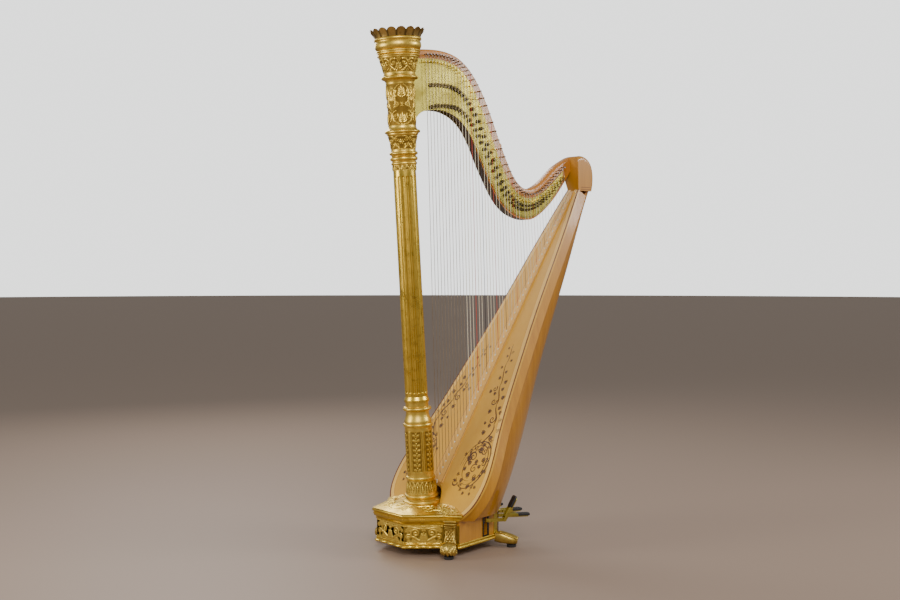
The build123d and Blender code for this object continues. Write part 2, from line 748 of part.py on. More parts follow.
def fork_disc(index, share):
    """A disc on its short spindle, with two fork pins that stand either side of the string."""
    z = disc_height(index, share)
    x = string_point(index, z)
    spread = string_radius(index) + 0.3 + FORK_R
    face_y = string_radius(index) + 3.0
    disc = rod_between((x, face_y, z), (x, face_y + DISC_T, z), disc_size(index))
    disc += rod_between((x, face_y + DISC_T - 1, z), (x, PLATE_FACE + PLATE_T, z), 1.5)
    for side in (-1, 1):
        fork_x = x + side * spread
        disc += rod_between((fork_x, -4, z), (fork_x, face_y + 1, z), FORK_R)
    return disc


def disc_indices():
    return range(BASS_DISCLESS, STRINGS)


def disc_row(share):
    return group([fork_disc(index, share) for index in disc_indices()])


def plate_face_outline():
    """The plates cover the lower part of the neck."""
    upper = []
    for x in (2, 90, 176, 262, 350, 400, 450, 508, 560, 640, PLATE_END_X):
        upper.append((x, below_top_edge(x, PLATE_INSET)))
    front_top = (PLATE_FRONT_X, upper[0][1])
    lower = [(PLATE_END_X - 8, 1365), (627, 1283), (575, 1241), (520, 1218), (473, 1223), (423, 1243),
             (373, 1285), (324, 1356), (276, 1441), (181, 1573), (108, 1603), (40, 1602), (2, 1590),
             (-26, 1560), (PLATE_FRONT_X, 1528)]
    ends = [Line(upper[-1], lower[0]), Polyline(lower[-1], front_top, upper[0])]
    return make_face([Spline(upper), Spline(lower)] + ends)


def screw_places():
    places = []
    for index in range(2, STRINGS - 1, 4):
        x = string_x_at_neck(index) + 7
        places.append((x, below_top_edge(x, PLATE_INSET + 6)))
    return places


def action_plate_near():
    plate = in_neck(plate_face_outline(), PLATE_FACE, PLATE_FACE + PLATE_T)
    cutters = [bridge_pin(index) for index in range(STRINGS)]
    for index in disc_indices():
        for share in (SEMITONE, SEMITONE ** 2):
            z = disc_height(index, share)
            x = string_point(index, z)
            cutters.append(rod_between((x, PLATE_FACE - 2, z), (x, PLATE_FACE + PLATE_T + 1, z), 1.5))
    plate -= column_envelope()
    return plate - cutters - screw_cutters(PLATE_FACE)


def screw_cutters(low):
    cutters = []
    for x, z in screw_places():
        cutters.append(rod_between((x, low - 5, z), (x, low + PLATE_T + 5, z), SCREW_R * 0.6))
    return cutters


def action_plate_far():
    low = NECK_NEAR + NECK_T
    plate = in_neck(plate_face_outline(), low, low + PLATE_T)
    plate -= column_envelope()
    return plate - screw_cutters(low)


def plate_screws():
    screws = []
    far = NECK_NEAR + NECK_T + PLATE_T
    for x, z in screw_places():
        head = rod_between((x, PLATE_FACE - 1.5, z), (x, PLATE_FACE, z), SCREW_R)
        screws.append(head + rod_between((x, PLATE_FACE - 1, z), (x, NECK_NEAR, z), SCREW_R * 0.6))
        head = rod_between((x, far, z), (x, far + 1.5, z), SCREW_R)
        screws.append(head + rod_between((x, far - PLATE_T, z), (x, far + 1, z), SCREW_R * 0.6))
    return group(screws)


def string_rib():
    """Tapered strip down the middle of the board, bored for the eyelets."""
    low = 46.0
    high = BOARD_TOP_S - 6
    rib = make_face(Polyline((low, 32), (high, 14), (high, -14), (low, -32), (low, 32)))
    rib = raise_back(rib, -4, 4)
    return rib - column_room(2.0) - [eyelet_body(index) for index in range(STRINGS)]


def eyelet_body(index):
    foot_x, foot_z = string_foot(index)
    low = foot_z - 6
    high = foot_z + 9
    return rod_between((string_point(index, low), 0, low), (string_point(index, high), 0, high), 3.4)


def eyelets():
    shapes = []
    for index in range(STRINGS):
        foot_x, foot_z = string_foot(index)
        low = foot_z - 8
        high = foot_z + 12
        hole = rod_between((string_point(index, low), 0, low), (string_point(index, high), 0, high),
                           string_radius(index) + 0.3)
        shapes.append((eyelet_body(index) & front_of_board(0.05)) - hole)
    return group(shapes)


# ---------------------------------------------------------------- pedals
def lever_y(index):
    """The levers hang half a pitch beside their rods."""
    return (index - 3) * PEDAL_PITCH - PEDAL_PITCH / 2


def outer_direction(index, place):
    """Angle in degrees of the part of the lever outside the wall."""
    if index in (0, len(PEDAL_NAMES) - 1):
        return math.copysign(SIDE_PEDAL_TURN, place[1])
    return math.degrees(math.atan2(place[1] - lever_y(index), place[0] - LEVER_BEND_X))


def hinge_place(index):
    place = slot_places()[index]
    angle = outer_direction(index, place)
    turn = math.radians(angle)
    out = HINGE_OUT
    if index in (0, len(PEDAL_NAMES) - 1):
        out = SIDE_HINGE_OUT
    start = lever_wall_point(index)
    return start[0] + out * math.cos(turn), start[1] + out * math.sin(turn), angle


def lever_wall_point(index):
    """Where the lever is clear of the wall, before its last straight run."""
    place = slot_places()[index]
    if index in (0, len(PEDAL_NAMES) - 1):
        turn = math.radians(place[2])
        middle_x = place[0] - BASE_WALL / 2 * math.cos(turn)
        middle_y = place[1] - BASE_WALL / 2 * math.sin(turn)
        inner = math.atan2(middle_y - lever_y(index), middle_x - LEVER_BEND_X)
        clear = BASE_WALL / 2 + 12
        return middle_x + clear * math.cos(inner), middle_y + clear * math.sin(inner)
    return place[0], place[1]


def flat_bar(points, width, height):
    """Bar on edge through points in plan, rounded at each bend, at the height of the pedals."""
    bar = Part()
    for start, end in zip(points, points[1:]):
        dx = end[0] - start[0]
        dy = end[1] - start[1]
        run = Box(math.hypot(dx, dy), width, height, align=(Align.MIN, Align.CENTER, Align.CENTER))
        bar += Pos(start[0], start[1], PEDAL_Z) * Rot(0, 0, math.degrees(math.atan2(dy, dx))) * run
    for x, y in points[1:-1]:
        bar += Pos(x, y, PEDAL_Z) * Cylinder(width / 2, height)
    return bar


def pedal_lever(index):
    """Flat bar from its hub on the axle, past the rod, out through the slot to the hinge."""
    y = lever_y(index)
    place = slot_places()[index]
    hinge_x, hinge_y, angle = hinge_place(index)
    points = [(AXLE_X, y), (LEVER_BEND_X, y)]
    if index in (0, len(PEDAL_NAMES) - 1):
        points.append(lever_wall_point(index))
    turn = math.radians(angle)
    points.append((hinge_x - 9 * math.cos(turn), hinge_y - 9 * math.sin(turn)))
    bar = flat_bar(points, PEDAL_T, PEDAL_H)
    bar += Pos(AXLE_X, y, PEDAL_Z) * Rot(90, 0, 0) * Cylinder(HUB_R, PEDAL_T)
    bar -= Pos(AXLE_X, y, PEDAL_Z) * Rot(90, 0, 0) * Cylinder(AXLE_R + RUN_CLEAR, PEDAL_T * 3)
    stud = Rot(90, 0, 0) * Cylinder(STUD_R, PEDAL_PITCH - PEDAL_T)
    bar += Pos(column_x(PEDAL_Z), y + PEDAL_PITCH / 2 - 0.4, PEDAL_Z) * stud
    eye = Rot(90, 0, 0) * Cylinder(PEDAL_H / 2 - 0.5, 9)
    eye += Pos(-6, 0, 0) * Box(12, 9, PEDAL_H - 1)
    eye -= Rot(90, 0, 0) * Cylinder(PIVOT_R + RUN_CLEAR, 20)
    return bar + Pos(hinge_x, hinge_y, PEDAL_Z) * Rot(0, 0, angle) * eye


def pedal_tip(index):
    """Foot plate with two cheeks that fold up about the pin in the lever's eye."""
    hinge_x, hinge_y, angle = hinge_place(index)
    cheek_y = 4.5 + 0.5 + 2.5
    tip = Rot(90, 0, 0) * Cylinder(PIVOT_R, 2 * cheek_y)
    for side in (-1, 1):
        cheek = Rot(90, 0, 0) * Cylinder(PEDAL_H / 2 - 0.5, 5) + Pos(7, 0, 0) * Box(14, 5, PEDAL_H - 1)
        tip += Pos(0, side * cheek_y, 0) * cheek
    sole = Pos(TIP_LENGTH / 2 + 9, 0) * RectangleRounded(TIP_LENGTH - 6, TIP_W, 9)
    tip += Pos(0, 0, -PEDAL_H / 2 + 0.5) * extrude(sole, amount=7)
    pad = Pos(TIP_LENGTH - 13, 0) * RectangleRounded(46, TIP_W + 3, 10)
    tip += Pos(0, 0, -PEDAL_H / 2 + 6) * extrude(pad, amount=6)
    fold = -FOLD_ANGLE if PEDAL_NAMES[index] in FOLDED else 0
    return Pos(hinge_x, hinge_y, PEDAL_Z) * Rot(0, 0, angle) * Rot(0, fold, 0) * tip


def pedal_rod(index):
    """Long rod up the column with a slotted blade that hooks the lever's stud."""
    lean_z = PEDAL_Z / math.cos(LEAN)
    offset_y = rod_places()[index]
    start_z = lean_z + BLADE_RISE - 2
    rod = Pos(0, offset_y, start_z) * Cylinder(
        ROD_R, ROD_TOP - start_z, align=(Align.CENTER, Align.CENTER, Align.MIN))
    blade = Box(13, 2.4, 8 + BLADE_RISE, align=(Align.CENTER, Align.CENTER, Align.MIN))
    blade = Pos(0, offset_y, lean_z - 8) * blade
    slot = Plane.XZ * SlotOverall(9, 2 * (STUD_R + 0.6))
    blade -= Pos(0, offset_y + 5, lean_z) * extrude(slot, amount=10)
    return COLUMN_PLANE * (rod + blade)


def pedal_axle():
    reach = 4 * PEDAL_PITCH + 16
    return Pos(AXLE_X, -PEDAL_PITCH / 2, PEDAL_Z) * Rot(90, 0, 0) * Cylinder(AXLE_R, 2 * reach)


def axle_brackets():
    """Two standards on the floor board that carry the axle."""
    low = RAIL_BOTTOM + 2 + FLOOR_T
    brackets = []
    for side in (-1, 1):
        y = side * (4 * PEDAL_PITCH + 9) - PEDAL_PITCH / 2
        leg = Box(26, 8, PEDAL_Z - low + 8, align=(Align.CENTER, Align.CENTER, Align.MIN))
        foot = Box(44, 22, 5, align=(Align.CENTER, Align.CENTER, Align.MIN))
        bracket = Pos(AXLE_X, y, low) * (leg + foot)
        brackets.append(bracket - pedal_axle())
    return group(brackets)


def pedal_springs():
    """Wound springs round the axle between the levers, each with a leg to the floor board."""
    low = RAIL_BOTTOM + 2 + FLOOR_T
    wire = 0.9
    springs = []
    for index in range(len(PEDAL_NAMES)):
        y = lever_y(index) + PEDAL_PITCH / 2
        coil_r = AXLE_R + wire + 0.6
        coil = Pos(0, 0.8, 0) * Rot(90, 0, 0) * Torus(coil_r, wire)
        coil += Pos(0, -0.8, 0) * Rot(90, 0, 0) * Torus(coil_r, wire)
        leg = Pos(-coil_r, 0.8, low - PEDAL_Z) * Cylinder(
            wire, PEDAL_Z - low, align=(Align.CENTER, Align.CENTER, Align.MIN))
        springs.append(Pos(AXLE_X, y, PEDAL_Z) * (coil + leg))
    return group(springs)


# ---------------------------------------------------------------- everything
def string_set(wanted):
    return group([harp_string(index) for index in range(STRINGS) if wanted(index)])


def is_wire(index):
    return index < WIRE_STRINGS


def is_red(index):
    return not is_wire(index) and index % 7 == 0


def is_black(index):
    return not is_wire(index) and index % 7 == 3


def is_plain(index):
    return not (is_wire(index) or is_red(index) or is_black(index))


def build_nodes():
    nodes = {
        "base_box": base_box(),
        "base_bottom_rail": base_bottom_rail(),
        "base_floor_board": base_floor_board(),
        "base_top_board": base_top_board(),
        "base_casing": base_casing(),
        "base_panels": base_panels(),
        "pedal_slot_plates": pedal_slot_plates(),
        "slot_felts": slot_felts(),
        "front_feet": group([front_foot(-1), front_foot(1)]),
        "rear_feet": group([rear_foot(-1), rear_foot(1)]),
        "foot_pads": foot_pads(),
        "column_base_drum": column_base_drum(),
        "column_shaft": column_shaft(),
        "column_capital": column_capital(),
        "crown": crown(),
        "rod_guides": rod_guides(),
        "soundboard": soundboard(),
        "body_rim": body_rim(),
        "body_shell": body_shell(),
        "body_end_block": body_end_block(),
        "rest_knob": rest_knob(),
        "string_rib": string_rib(),
        "eyelets": eyelets(),
        "neck": neck(),
        "shoulder_block": shoulder_block(),
        "action_plate_near": action_plate_near(),
        "action_plate_far": action_plate_far(),
        "plate_screws": plate_screws(),
        "tuning_pins": tuning_pins(),
        "bridge_pins": group([bridge_pin(index) for index in range(STRINGS)]),
        "natural_discs": disc_row(SEMITONE),
        "sharp_discs": disc_row(SEMITONE ** 2),
        "strings_wire": string_set(is_wire),
        "strings_gut": string_set(is_plain),
        "strings_red": string_set(is_red),
        "strings_black": string_set(is_black),
        "pedal_axle": pedal_axle(),
        "axle_brackets": axle_brackets(),
        "pedal_springs": pedal_springs(),
    }
    for index, name in enumerate(PEDAL_NAMES):
        nodes["pedal_" + name] = pedal_lever(index)
        nodes["pedal_tip_" + name] = pedal_tip(index)
        nodes["pedal_rod_" + name] = pedal_rod(index)
    return nodes


def write_parts(nodes):
    os.makedirs("parts", exist_ok=True)
    front = nodes["crown"].bounding_box().min.X
    back = nodes["shoulder_block"].bounding_box().max.X
    shift = Pos(-(front + back) / 2, 0, 0)
    for name, shape in nodes.items():
        export_step(shift * shape, f"parts/{name}.step")
    print("shift", -(front + back) / 2, "nodes", len(nodes))


if __name__ == "__main__":
    write_parts(build_nodes())
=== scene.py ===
"""Finished look of a gilded concert harp, built around its packed model."""

import json
import math

import bmesh
import bpy
import numpy as np
from mathutils import Matrix, Vector


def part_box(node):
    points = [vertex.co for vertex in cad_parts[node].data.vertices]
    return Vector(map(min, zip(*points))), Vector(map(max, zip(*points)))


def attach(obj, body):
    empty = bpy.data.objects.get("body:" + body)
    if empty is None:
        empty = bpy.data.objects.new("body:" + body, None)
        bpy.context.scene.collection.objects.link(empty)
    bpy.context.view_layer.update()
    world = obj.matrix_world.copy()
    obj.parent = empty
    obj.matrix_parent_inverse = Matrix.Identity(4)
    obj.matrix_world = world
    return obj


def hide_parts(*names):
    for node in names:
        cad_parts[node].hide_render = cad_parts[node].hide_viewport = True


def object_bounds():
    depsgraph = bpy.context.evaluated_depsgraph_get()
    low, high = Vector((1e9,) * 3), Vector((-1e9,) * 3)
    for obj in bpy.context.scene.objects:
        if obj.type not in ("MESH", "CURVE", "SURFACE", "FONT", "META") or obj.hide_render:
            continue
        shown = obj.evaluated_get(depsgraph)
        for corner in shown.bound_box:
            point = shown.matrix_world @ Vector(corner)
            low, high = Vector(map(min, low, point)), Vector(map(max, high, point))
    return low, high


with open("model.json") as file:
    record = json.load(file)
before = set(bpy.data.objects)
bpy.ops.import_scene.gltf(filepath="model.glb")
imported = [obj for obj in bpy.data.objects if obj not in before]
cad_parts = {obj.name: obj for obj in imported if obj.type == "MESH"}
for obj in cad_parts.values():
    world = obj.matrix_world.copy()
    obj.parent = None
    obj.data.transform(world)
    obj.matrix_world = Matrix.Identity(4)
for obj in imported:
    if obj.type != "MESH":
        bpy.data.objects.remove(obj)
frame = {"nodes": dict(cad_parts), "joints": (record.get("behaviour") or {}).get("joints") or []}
CAD_BOX = [list(corner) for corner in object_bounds()]

bl_info = {
    "name": "Gilded concert harp",
    "version": (1, 0, 0),
    "blender": (4, 5, 0),
    "location": "3D View > Sidebar > Harp",
    "description": "Carving, gilding, varnish and stage for the concert harp",
    "category": "Object",
}

NODES = frame["nodes"]
MM = 0.001
AXLE_BEHIND_FLOOR_POINT = 0.070
SHIFT = (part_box("pedal_axle")[0].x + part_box("pedal_axle")[1].x) / 2 + AXLE_BEHIND_FLOOR_POINT
COLUMN_FOOT = 8.0
LEAN = math.radians(3.65)
SLOPE = math.radians(31.45)
BOARD_X, BOARD_Z = 41.4, 195.0
BOARD_EDGE = [(-80, 205), (-35, 246), (60, 270), (250, 228), (520, 166), (800, 115), (1060, 79), (1338, 33)]
SIDES = ((-1, "near"), (1, "far"))
PANEL_LOW, PANEL_HIGH = 48.0, 112.0
BASE_PLAN = [(-142, 84.5), (-28, 163), (10, 209), (235, 141)]
FACET_MIDDLE = (-9.0, 186.0)
FACET_ANGLE = math.degrees(math.atan2(0.64, -0.77))
REAR_FOOT = (227.0, 139.0)
REAR_FOOT_ANGLE = 47
BACK_X, REAR_HALF, REAR_SAG = 300.0, 141.0, 65.0
CROWN_LOW, CROWN_RISE, CROWN_RADIUS = 1848, 30.5, 82.5
SHOULDER_FRONT, SHOULDER_BACK, SHOULDER_HALF = 738, 814, 0.0334
RIB_LINE_LOW, RIB_LINE_HIGH = 50, 1322
RIB_LOW, RIB_HIGH, RIB_HALF_LOW, RIB_HALF_HIGH = 46, 1324, 32, 14
PLATE_FACE_Y = 10.9
PAD_SIZE, PAD_CENTRE = (0.049, 0.033, 0.0082), (0.071, 0, 0.0018)
CHANNEL_HALF = 12.2
CAMERA_AT, CAMERA_DIP, CAMERA_TURN = (-2772.7, -3845.7, 1035), 1.54, 37
LIGHTS_AIM = (0, 0, 0.85)
NECK_TOP = [(0, 1821), (90, 1825), (181, 1803), (276, 1709), (373, 1516), (423, 1415),
            (473, 1348), (508, 1331), (549, 1339), (653, 1418), (733, 1463)]
NECK_LOW = [(736, 1408), (680, 1332), (627, 1275), (575, 1234), (520, 1211), (473, 1216), (423, 1235),
            (373, 1276), (324, 1347), (276, 1432), (181, 1581), (108, 1612), (40, 1611), (-20, 1578),
            (-40, 1530)]
NECK_FACE, NECK_BACK = 14.2, 53.8


def place(x, y, z):
    """A point given in the harp's own millimetres, in the frame of the packed model."""
    return Vector((x * MM + SHIFT, y * MM, z * MM))


def column_matrix():
    """From millimetres along the leaning column to the frame of the packed model."""
    c, s = math.cos(LEAN), math.sin(LEAN)
    turn = Matrix(((c, 0, -s, 0), (0, 1, 0, 0), (s, 0, c, 0), (0, 0, 0, 1)))
    return Matrix.Translation(place(COLUMN_FOOT, 0, 0)) @ turn @ Matrix.Scale(MM, 4)


def on_board(s, y, lift):
    """A point on the soundboard, s up its slope and y across, raised off its face."""
    u = (math.sin(SLOPE), math.cos(SLOPE))
    return place(BOARD_X + s * u[0] - lift * u[1], y, BOARD_Z + s * u[1] + lift * u[0])


def smooth_line(points, count):
    """Natural cubic curve through points, by distance along them."""
    known = np.array(points, float)
    at = np.concatenate([[0], np.cumsum(np.hypot(*np.diff(known, axis=0).T))])
    n = len(at)
    gap = np.diff(at)
    system = np.eye(n)
    right = np.zeros((n, known.shape[1]))
    for i in range(1, n - 1):
        system[i, i - 1:i + 2] = gap[i - 1], 2 * (gap[i - 1] + gap[i]), gap[i]
        right[i] = 6 * ((known[i + 1] - known[i]) / gap[i] - (known[i] - known[i - 1]) / gap[i - 1])
    bend = np.linalg.solve(system, right)
    made = []
    for t in np.linspace(0, at[-1], count):
        i = min(max(int(np.searchsorted(at, t)) - 1, 0), n - 2)
        a, b = at[i + 1] - t, t - at[i]
        made.append((bend[i] * a ** 3 + bend[i + 1] * b ** 3) / (6 * gap[i])
                    + (known[i] / gap[i] - bend[i] * gap[i] / 6) * a
                    + (known[i + 1] / gap[i] - bend[i + 1] * gap[i] / 6) * b)
    return [tuple(p) for p in made]


def read_off(known, at):
    """A value between known (position, value) pairs, held at both ends."""
    return float(np.interp(at, *zip(*known)))


# ---------------------------------------------------------------- finishes
def tone(red, green, blue):
    """A colour as seen, from 0 to 255, as the shader wants it."""
    seen = (red, green, blue)
    return tuple(((c / 255 + 0.055) / 1.055) ** 2.4 if c > 10 else c / 3294 for c in seen) + (1,)


def new_group(name, inputs, outputs):
    group = bpy.data.node_groups.new(name, "ShaderNodeTree")
    for label, kind, value in inputs:
        socket = group.interface.new_socket(name=label, in_out="INPUT", socket_type=kind)
        socket.default_value = value
    for label, kind in outputs:
        group.interface.new_socket(name=label, in_out="OUTPUT", socket_type=kind)
    start = group.nodes.new("NodeGroupInput")
    end = group.nodes.new("NodeGroupOutput")
    return group, start, end


def add_node(tree, kind, links=(), **settings):
    """A node with its properties set and its inputs linked or given a value."""
    node = tree.nodes.new(kind)
    for key, value in settings.items():
        setattr(node, key, value)
    for socket, source in links:
        if isinstance(source, bpy.types.NodeSocket):
            tree.links.new(source, node.inputs[socket])
        else:
            node.inputs[socket].default_value = source
    return node


def mix_colour(tree, factor, first, second):
    links = [(0, factor), (6, first), (7, second)]
    return add_node(tree, "ShaderNodeMix", links, data_type="RGBA").outputs[2]


def spread(tree, value, low, high, start, end):
    """A value carried from one range to another, and held at its ends."""
    node = add_node(tree, "ShaderNodeMapRange", [(0, value), (1, low), (2, high), (3, start), (4, end)])
    return node.outputs[0]


def noise(tree, vector, scale, detail, *more):
    links = [("Vector", vector), ("Scale", scale), ("Detail", detail), *more]
    return add_node(tree, "ShaderNodeTexNoise", links).outputs[0]


def combine(tree, operation, *values):
    """The result of a sum on values or sockets."""
    return add_node(tree, "ShaderNodeMath", enumerate(values), operation=operation).outputs[0]


def close_group(group, end, colour, rough, height):
    for label, result in (("Color", colour), ("Roughness", rough), ("Height", height)):
        group.links.new(result, end.inputs[label])
    return group


GROUP_OUT = [("Color", "NodeSocketColor"), ("Roughness", "NodeSocketFloat"), ("Height", "NodeSocketFloat")]


def gilding_group():
    """Leaf on gesso: cloudy tone, warm rubbed patches, dull dirt in the hollows, fine pits."""
    group, start, end = new_group("Worn gilding with painted shade", [
        ("Vector", "NodeSocketVector", (0, 0, 0)), ("Leaf", "NodeSocketColor", tone(228, 190, 84)),
        ("Rubbed", "NodeSocketColor", tone(196, 132, 52)), ("Painted shade", "NodeSocketColor", tone(92, 62, 22)),
        ("Painted shade depth", "NodeSocketFloat", 0.0), ("Roughness", "NodeSocketFloat", 0.3)], GROUP_OUT)
    vector, rubbed_tone = start.outputs["Vector"], start.outputs["Rubbed"]
    cloud, rub, pits = (noise(group, vector, *size) for size in ((21.0, 4.0), (75.0, 6.0), (620.0, 3.0)))
    colour = mix_colour(group, spread(group, rub, 0.53, 0.72, 0.0, 0.75), start.outputs["Leaf"], rubbed_tone)
    colour = mix_colour(group, spread(group, cloud, 0.35, 0.65, 0.0, 0.38), colour, rubbed_tone)
    # painted shade: the carving's recesses turn dark by their mask
    colour = mix_colour(group, start.outputs["Painted shade depth"], colour, start.outputs["Painted shade"])
    varied = combine(group, "ADD", start.outputs["Roughness"], spread(group, cloud, 0.3, 0.7, -0.07, 0.12))
    dull = combine(group, "MULTIPLY_ADD", start.outputs["Painted shade depth"], 0.3, varied)
    return close_group(group, end, colour, dull, combine(group, "ADD", pits, rub))


def grain_group():
    """Varnished timber: long fibres, slow bands of tone and fine pores."""
    group, start, end = new_group("Timber grain", [
        ("Vector", "NodeSocketVector", (0, 0, 0)), ("Light wood", "NodeSocketColor", tone(220, 176, 100)),
        ("Dark wood", "NodeSocketColor", tone(170, 116, 48)), ("Contrast", "NodeSocketFloat", 0.6),
        ("Roughness", "NodeSocketFloat", 0.3)], GROUP_OUT)
    vector = start.outputs["Vector"]
    bands = noise(group, vector, 1.0, 5.0, ("Distortion", 0.6))
    fibres = noise(group, vector, 6.0, 8.0, ("Roughness", 0.7))
    fine = spread(group, fibres, 0.35, 0.68, 0.0, 1.0)
    both = combine(group, "ADD", spread(group, bands, 0.32, 0.68, 0.0, 1.0), fine)
    amount = combine(group, "MULTIPLY", both, start.outputs["Contrast"])
    colour = mix_colour(group, spread(group, amount, 0.0, 2.0, 0.0, 1.0), start.outputs["Light wood"],
                        start.outputs["Dark wood"])
    rough = combine(group, "ADD", start.outputs["Roughness"], spread(group, fine, 0.0, 1.0, -0.03, 0.06))
    return close_group(group, end, colour, rough, fibres)


def tarnish_group():
    """Lacquered or bare metal: cloudy dulling, small spots and fine scratches."""
    group, start, end = new_group("Tarnish", [
        ("Vector", "NodeSocketVector", (0, 0, 0)), ("Bright", "NodeSocketColor", tone(226, 206, 120)),
        ("Dull", "NodeSocketColor", tone(150, 126, 60)), ("Amount", "NodeSocketFloat", 0.6),
        ("Roughness", "NodeSocketFloat", 0.25)], GROUP_OUT)
    vector = start.outputs["Vector"]
    cloud, spots = noise(group, vector, 16.0, 5.0), noise(group, vector, 190.0, 2.0)
    stretch = add_node(group, "ShaderNodeMapping", [("Vector", vector), ("Scale", (30.0, 900.0, 900.0))])
    lines = noise(group, stretch.outputs[0], 1.0, 2.0)
    dulled = combine(group, "MULTIPLY", spread(group, cloud, 0.35, 0.7, 0.0, 1.0), start.outputs["Amount"])
    colour = mix_colour(group, dulled, start.outputs["Bright"], start.outputs["Dull"])
    colour = mix_colour(group, spread(group, spots, 0.62, 0.72, 0.0, 0.7), colour, start.outputs["Dull"])
    rough = combine(group, "MULTIPLY_ADD", dulled, 0.2, start.outputs["Roughness"])
    return close_group(group, end, colour, rough, combine(group, "ADD", lines, spots))


def new_material(name, group, values, metallic=0.0, coat=0.0, bump=0.15, scale=(1, 1, 1), turn=(0, 0, 0),
                 sockets=(), hollows=False, depth=0.0006):
    """A material whose colour, roughness and bump come from a group on the piece's own place."""
    material = bpy.data.materials.new(name)
    material.use_nodes = True
    tree = material.node_tree
    shader = tree.nodes["Principled BSDF"]
    where = add_node(tree, "ShaderNodeTexCoord")
    mapping = add_node(tree, "ShaderNodeMapping", [("Vector", where.outputs["Object"]), ("Rotation", turn),
                       ("Scale", scale)])
    effect = tree.nodes.new("ShaderNodeGroup")
    effect.node_tree = group
    tree.links.new(mapping.outputs[0], effect.inputs["Vector"])
    for label, value in values.items():
        effect.inputs[label].default_value = value
    # the carving's mask of recesses drives the painted shade of the gilding
    if hollows:
        shade_mask = add_node(tree, "ShaderNodeAttribute", attribute_name="hollow")
        tree.links.new(shade_mask.outputs["Fac"], effect.inputs["Painted shade depth"])
    relief = add_node(tree, "ShaderNodeBump", [("Strength", bump), ("Distance", depth),
                      ("Height", effect.outputs["Height"])])
    tree.links.new(effect.outputs["Color"], shader.inputs["Base Color"])
    tree.links.new(effect.outputs["Roughness"], shader.inputs["Roughness"])
    tree.links.new(relief.outputs[0], shader.inputs["Normal"])
    shader.inputs["Metallic"].default_value = metallic
    shader.inputs["Coat Weight"].default_value = coat
    shader.inputs["Coat Roughness"].default_value = 0.12
    for label, value in sockets:
        shader.inputs[label].default_value = value
    return material


def timber_look(light, dark, contrast, roughness):
    return {"Light wood": tone(*light), "Dark wood": tone(*dark), "Contrast": contrast,
            "Roughness": roughness}


def wood(name, group, light, dark, contrast=0.6, coat=0.4, roughness=0.34, slope=0.0):
    """Timber with its grain along the height of the piece, or leaning with it."""
    look = timber_look(light, dark, contrast, roughness)
    return new_material(name, group, look, coat=coat, scale=(34, 34, 2.2), turn=(0, slope, 0), bump=0.1)


def metal(name, group, bright, dull, amount=0.6, roughness=0.25):
    look = {"Bright": tone(*bright), "Dull": tone(*dull), "Amount": amount, "Roughness": roughness}
    return new_material(name, group, look, metallic=1.0, bump=0.06, depth=0.0003)


def gilt(name, group, bright, rubbed, hollow, roughness, hollows=False):
    # the third colour is the painted shade laid into carved recesses
    look = {"Leaf": tone(*bright), "Rubbed": tone(*rubbed), "Painted shade": tone(*hollow), "Roughness": roughness}
    return new_material(name, group, look, metallic=1.0, hollows=hollows, bump=0.16)


def plain_timber(name, group, light, dark, roughness, sockets=(), bump=0.2):
    """A dyed or painted surface that keeps only a fine mottled texture."""
    look = timber_look(light, dark, 1.0, roughness)
    return new_material(name, group, look, scale=(150, 150, 150), bump=bump, sockets=sockets)


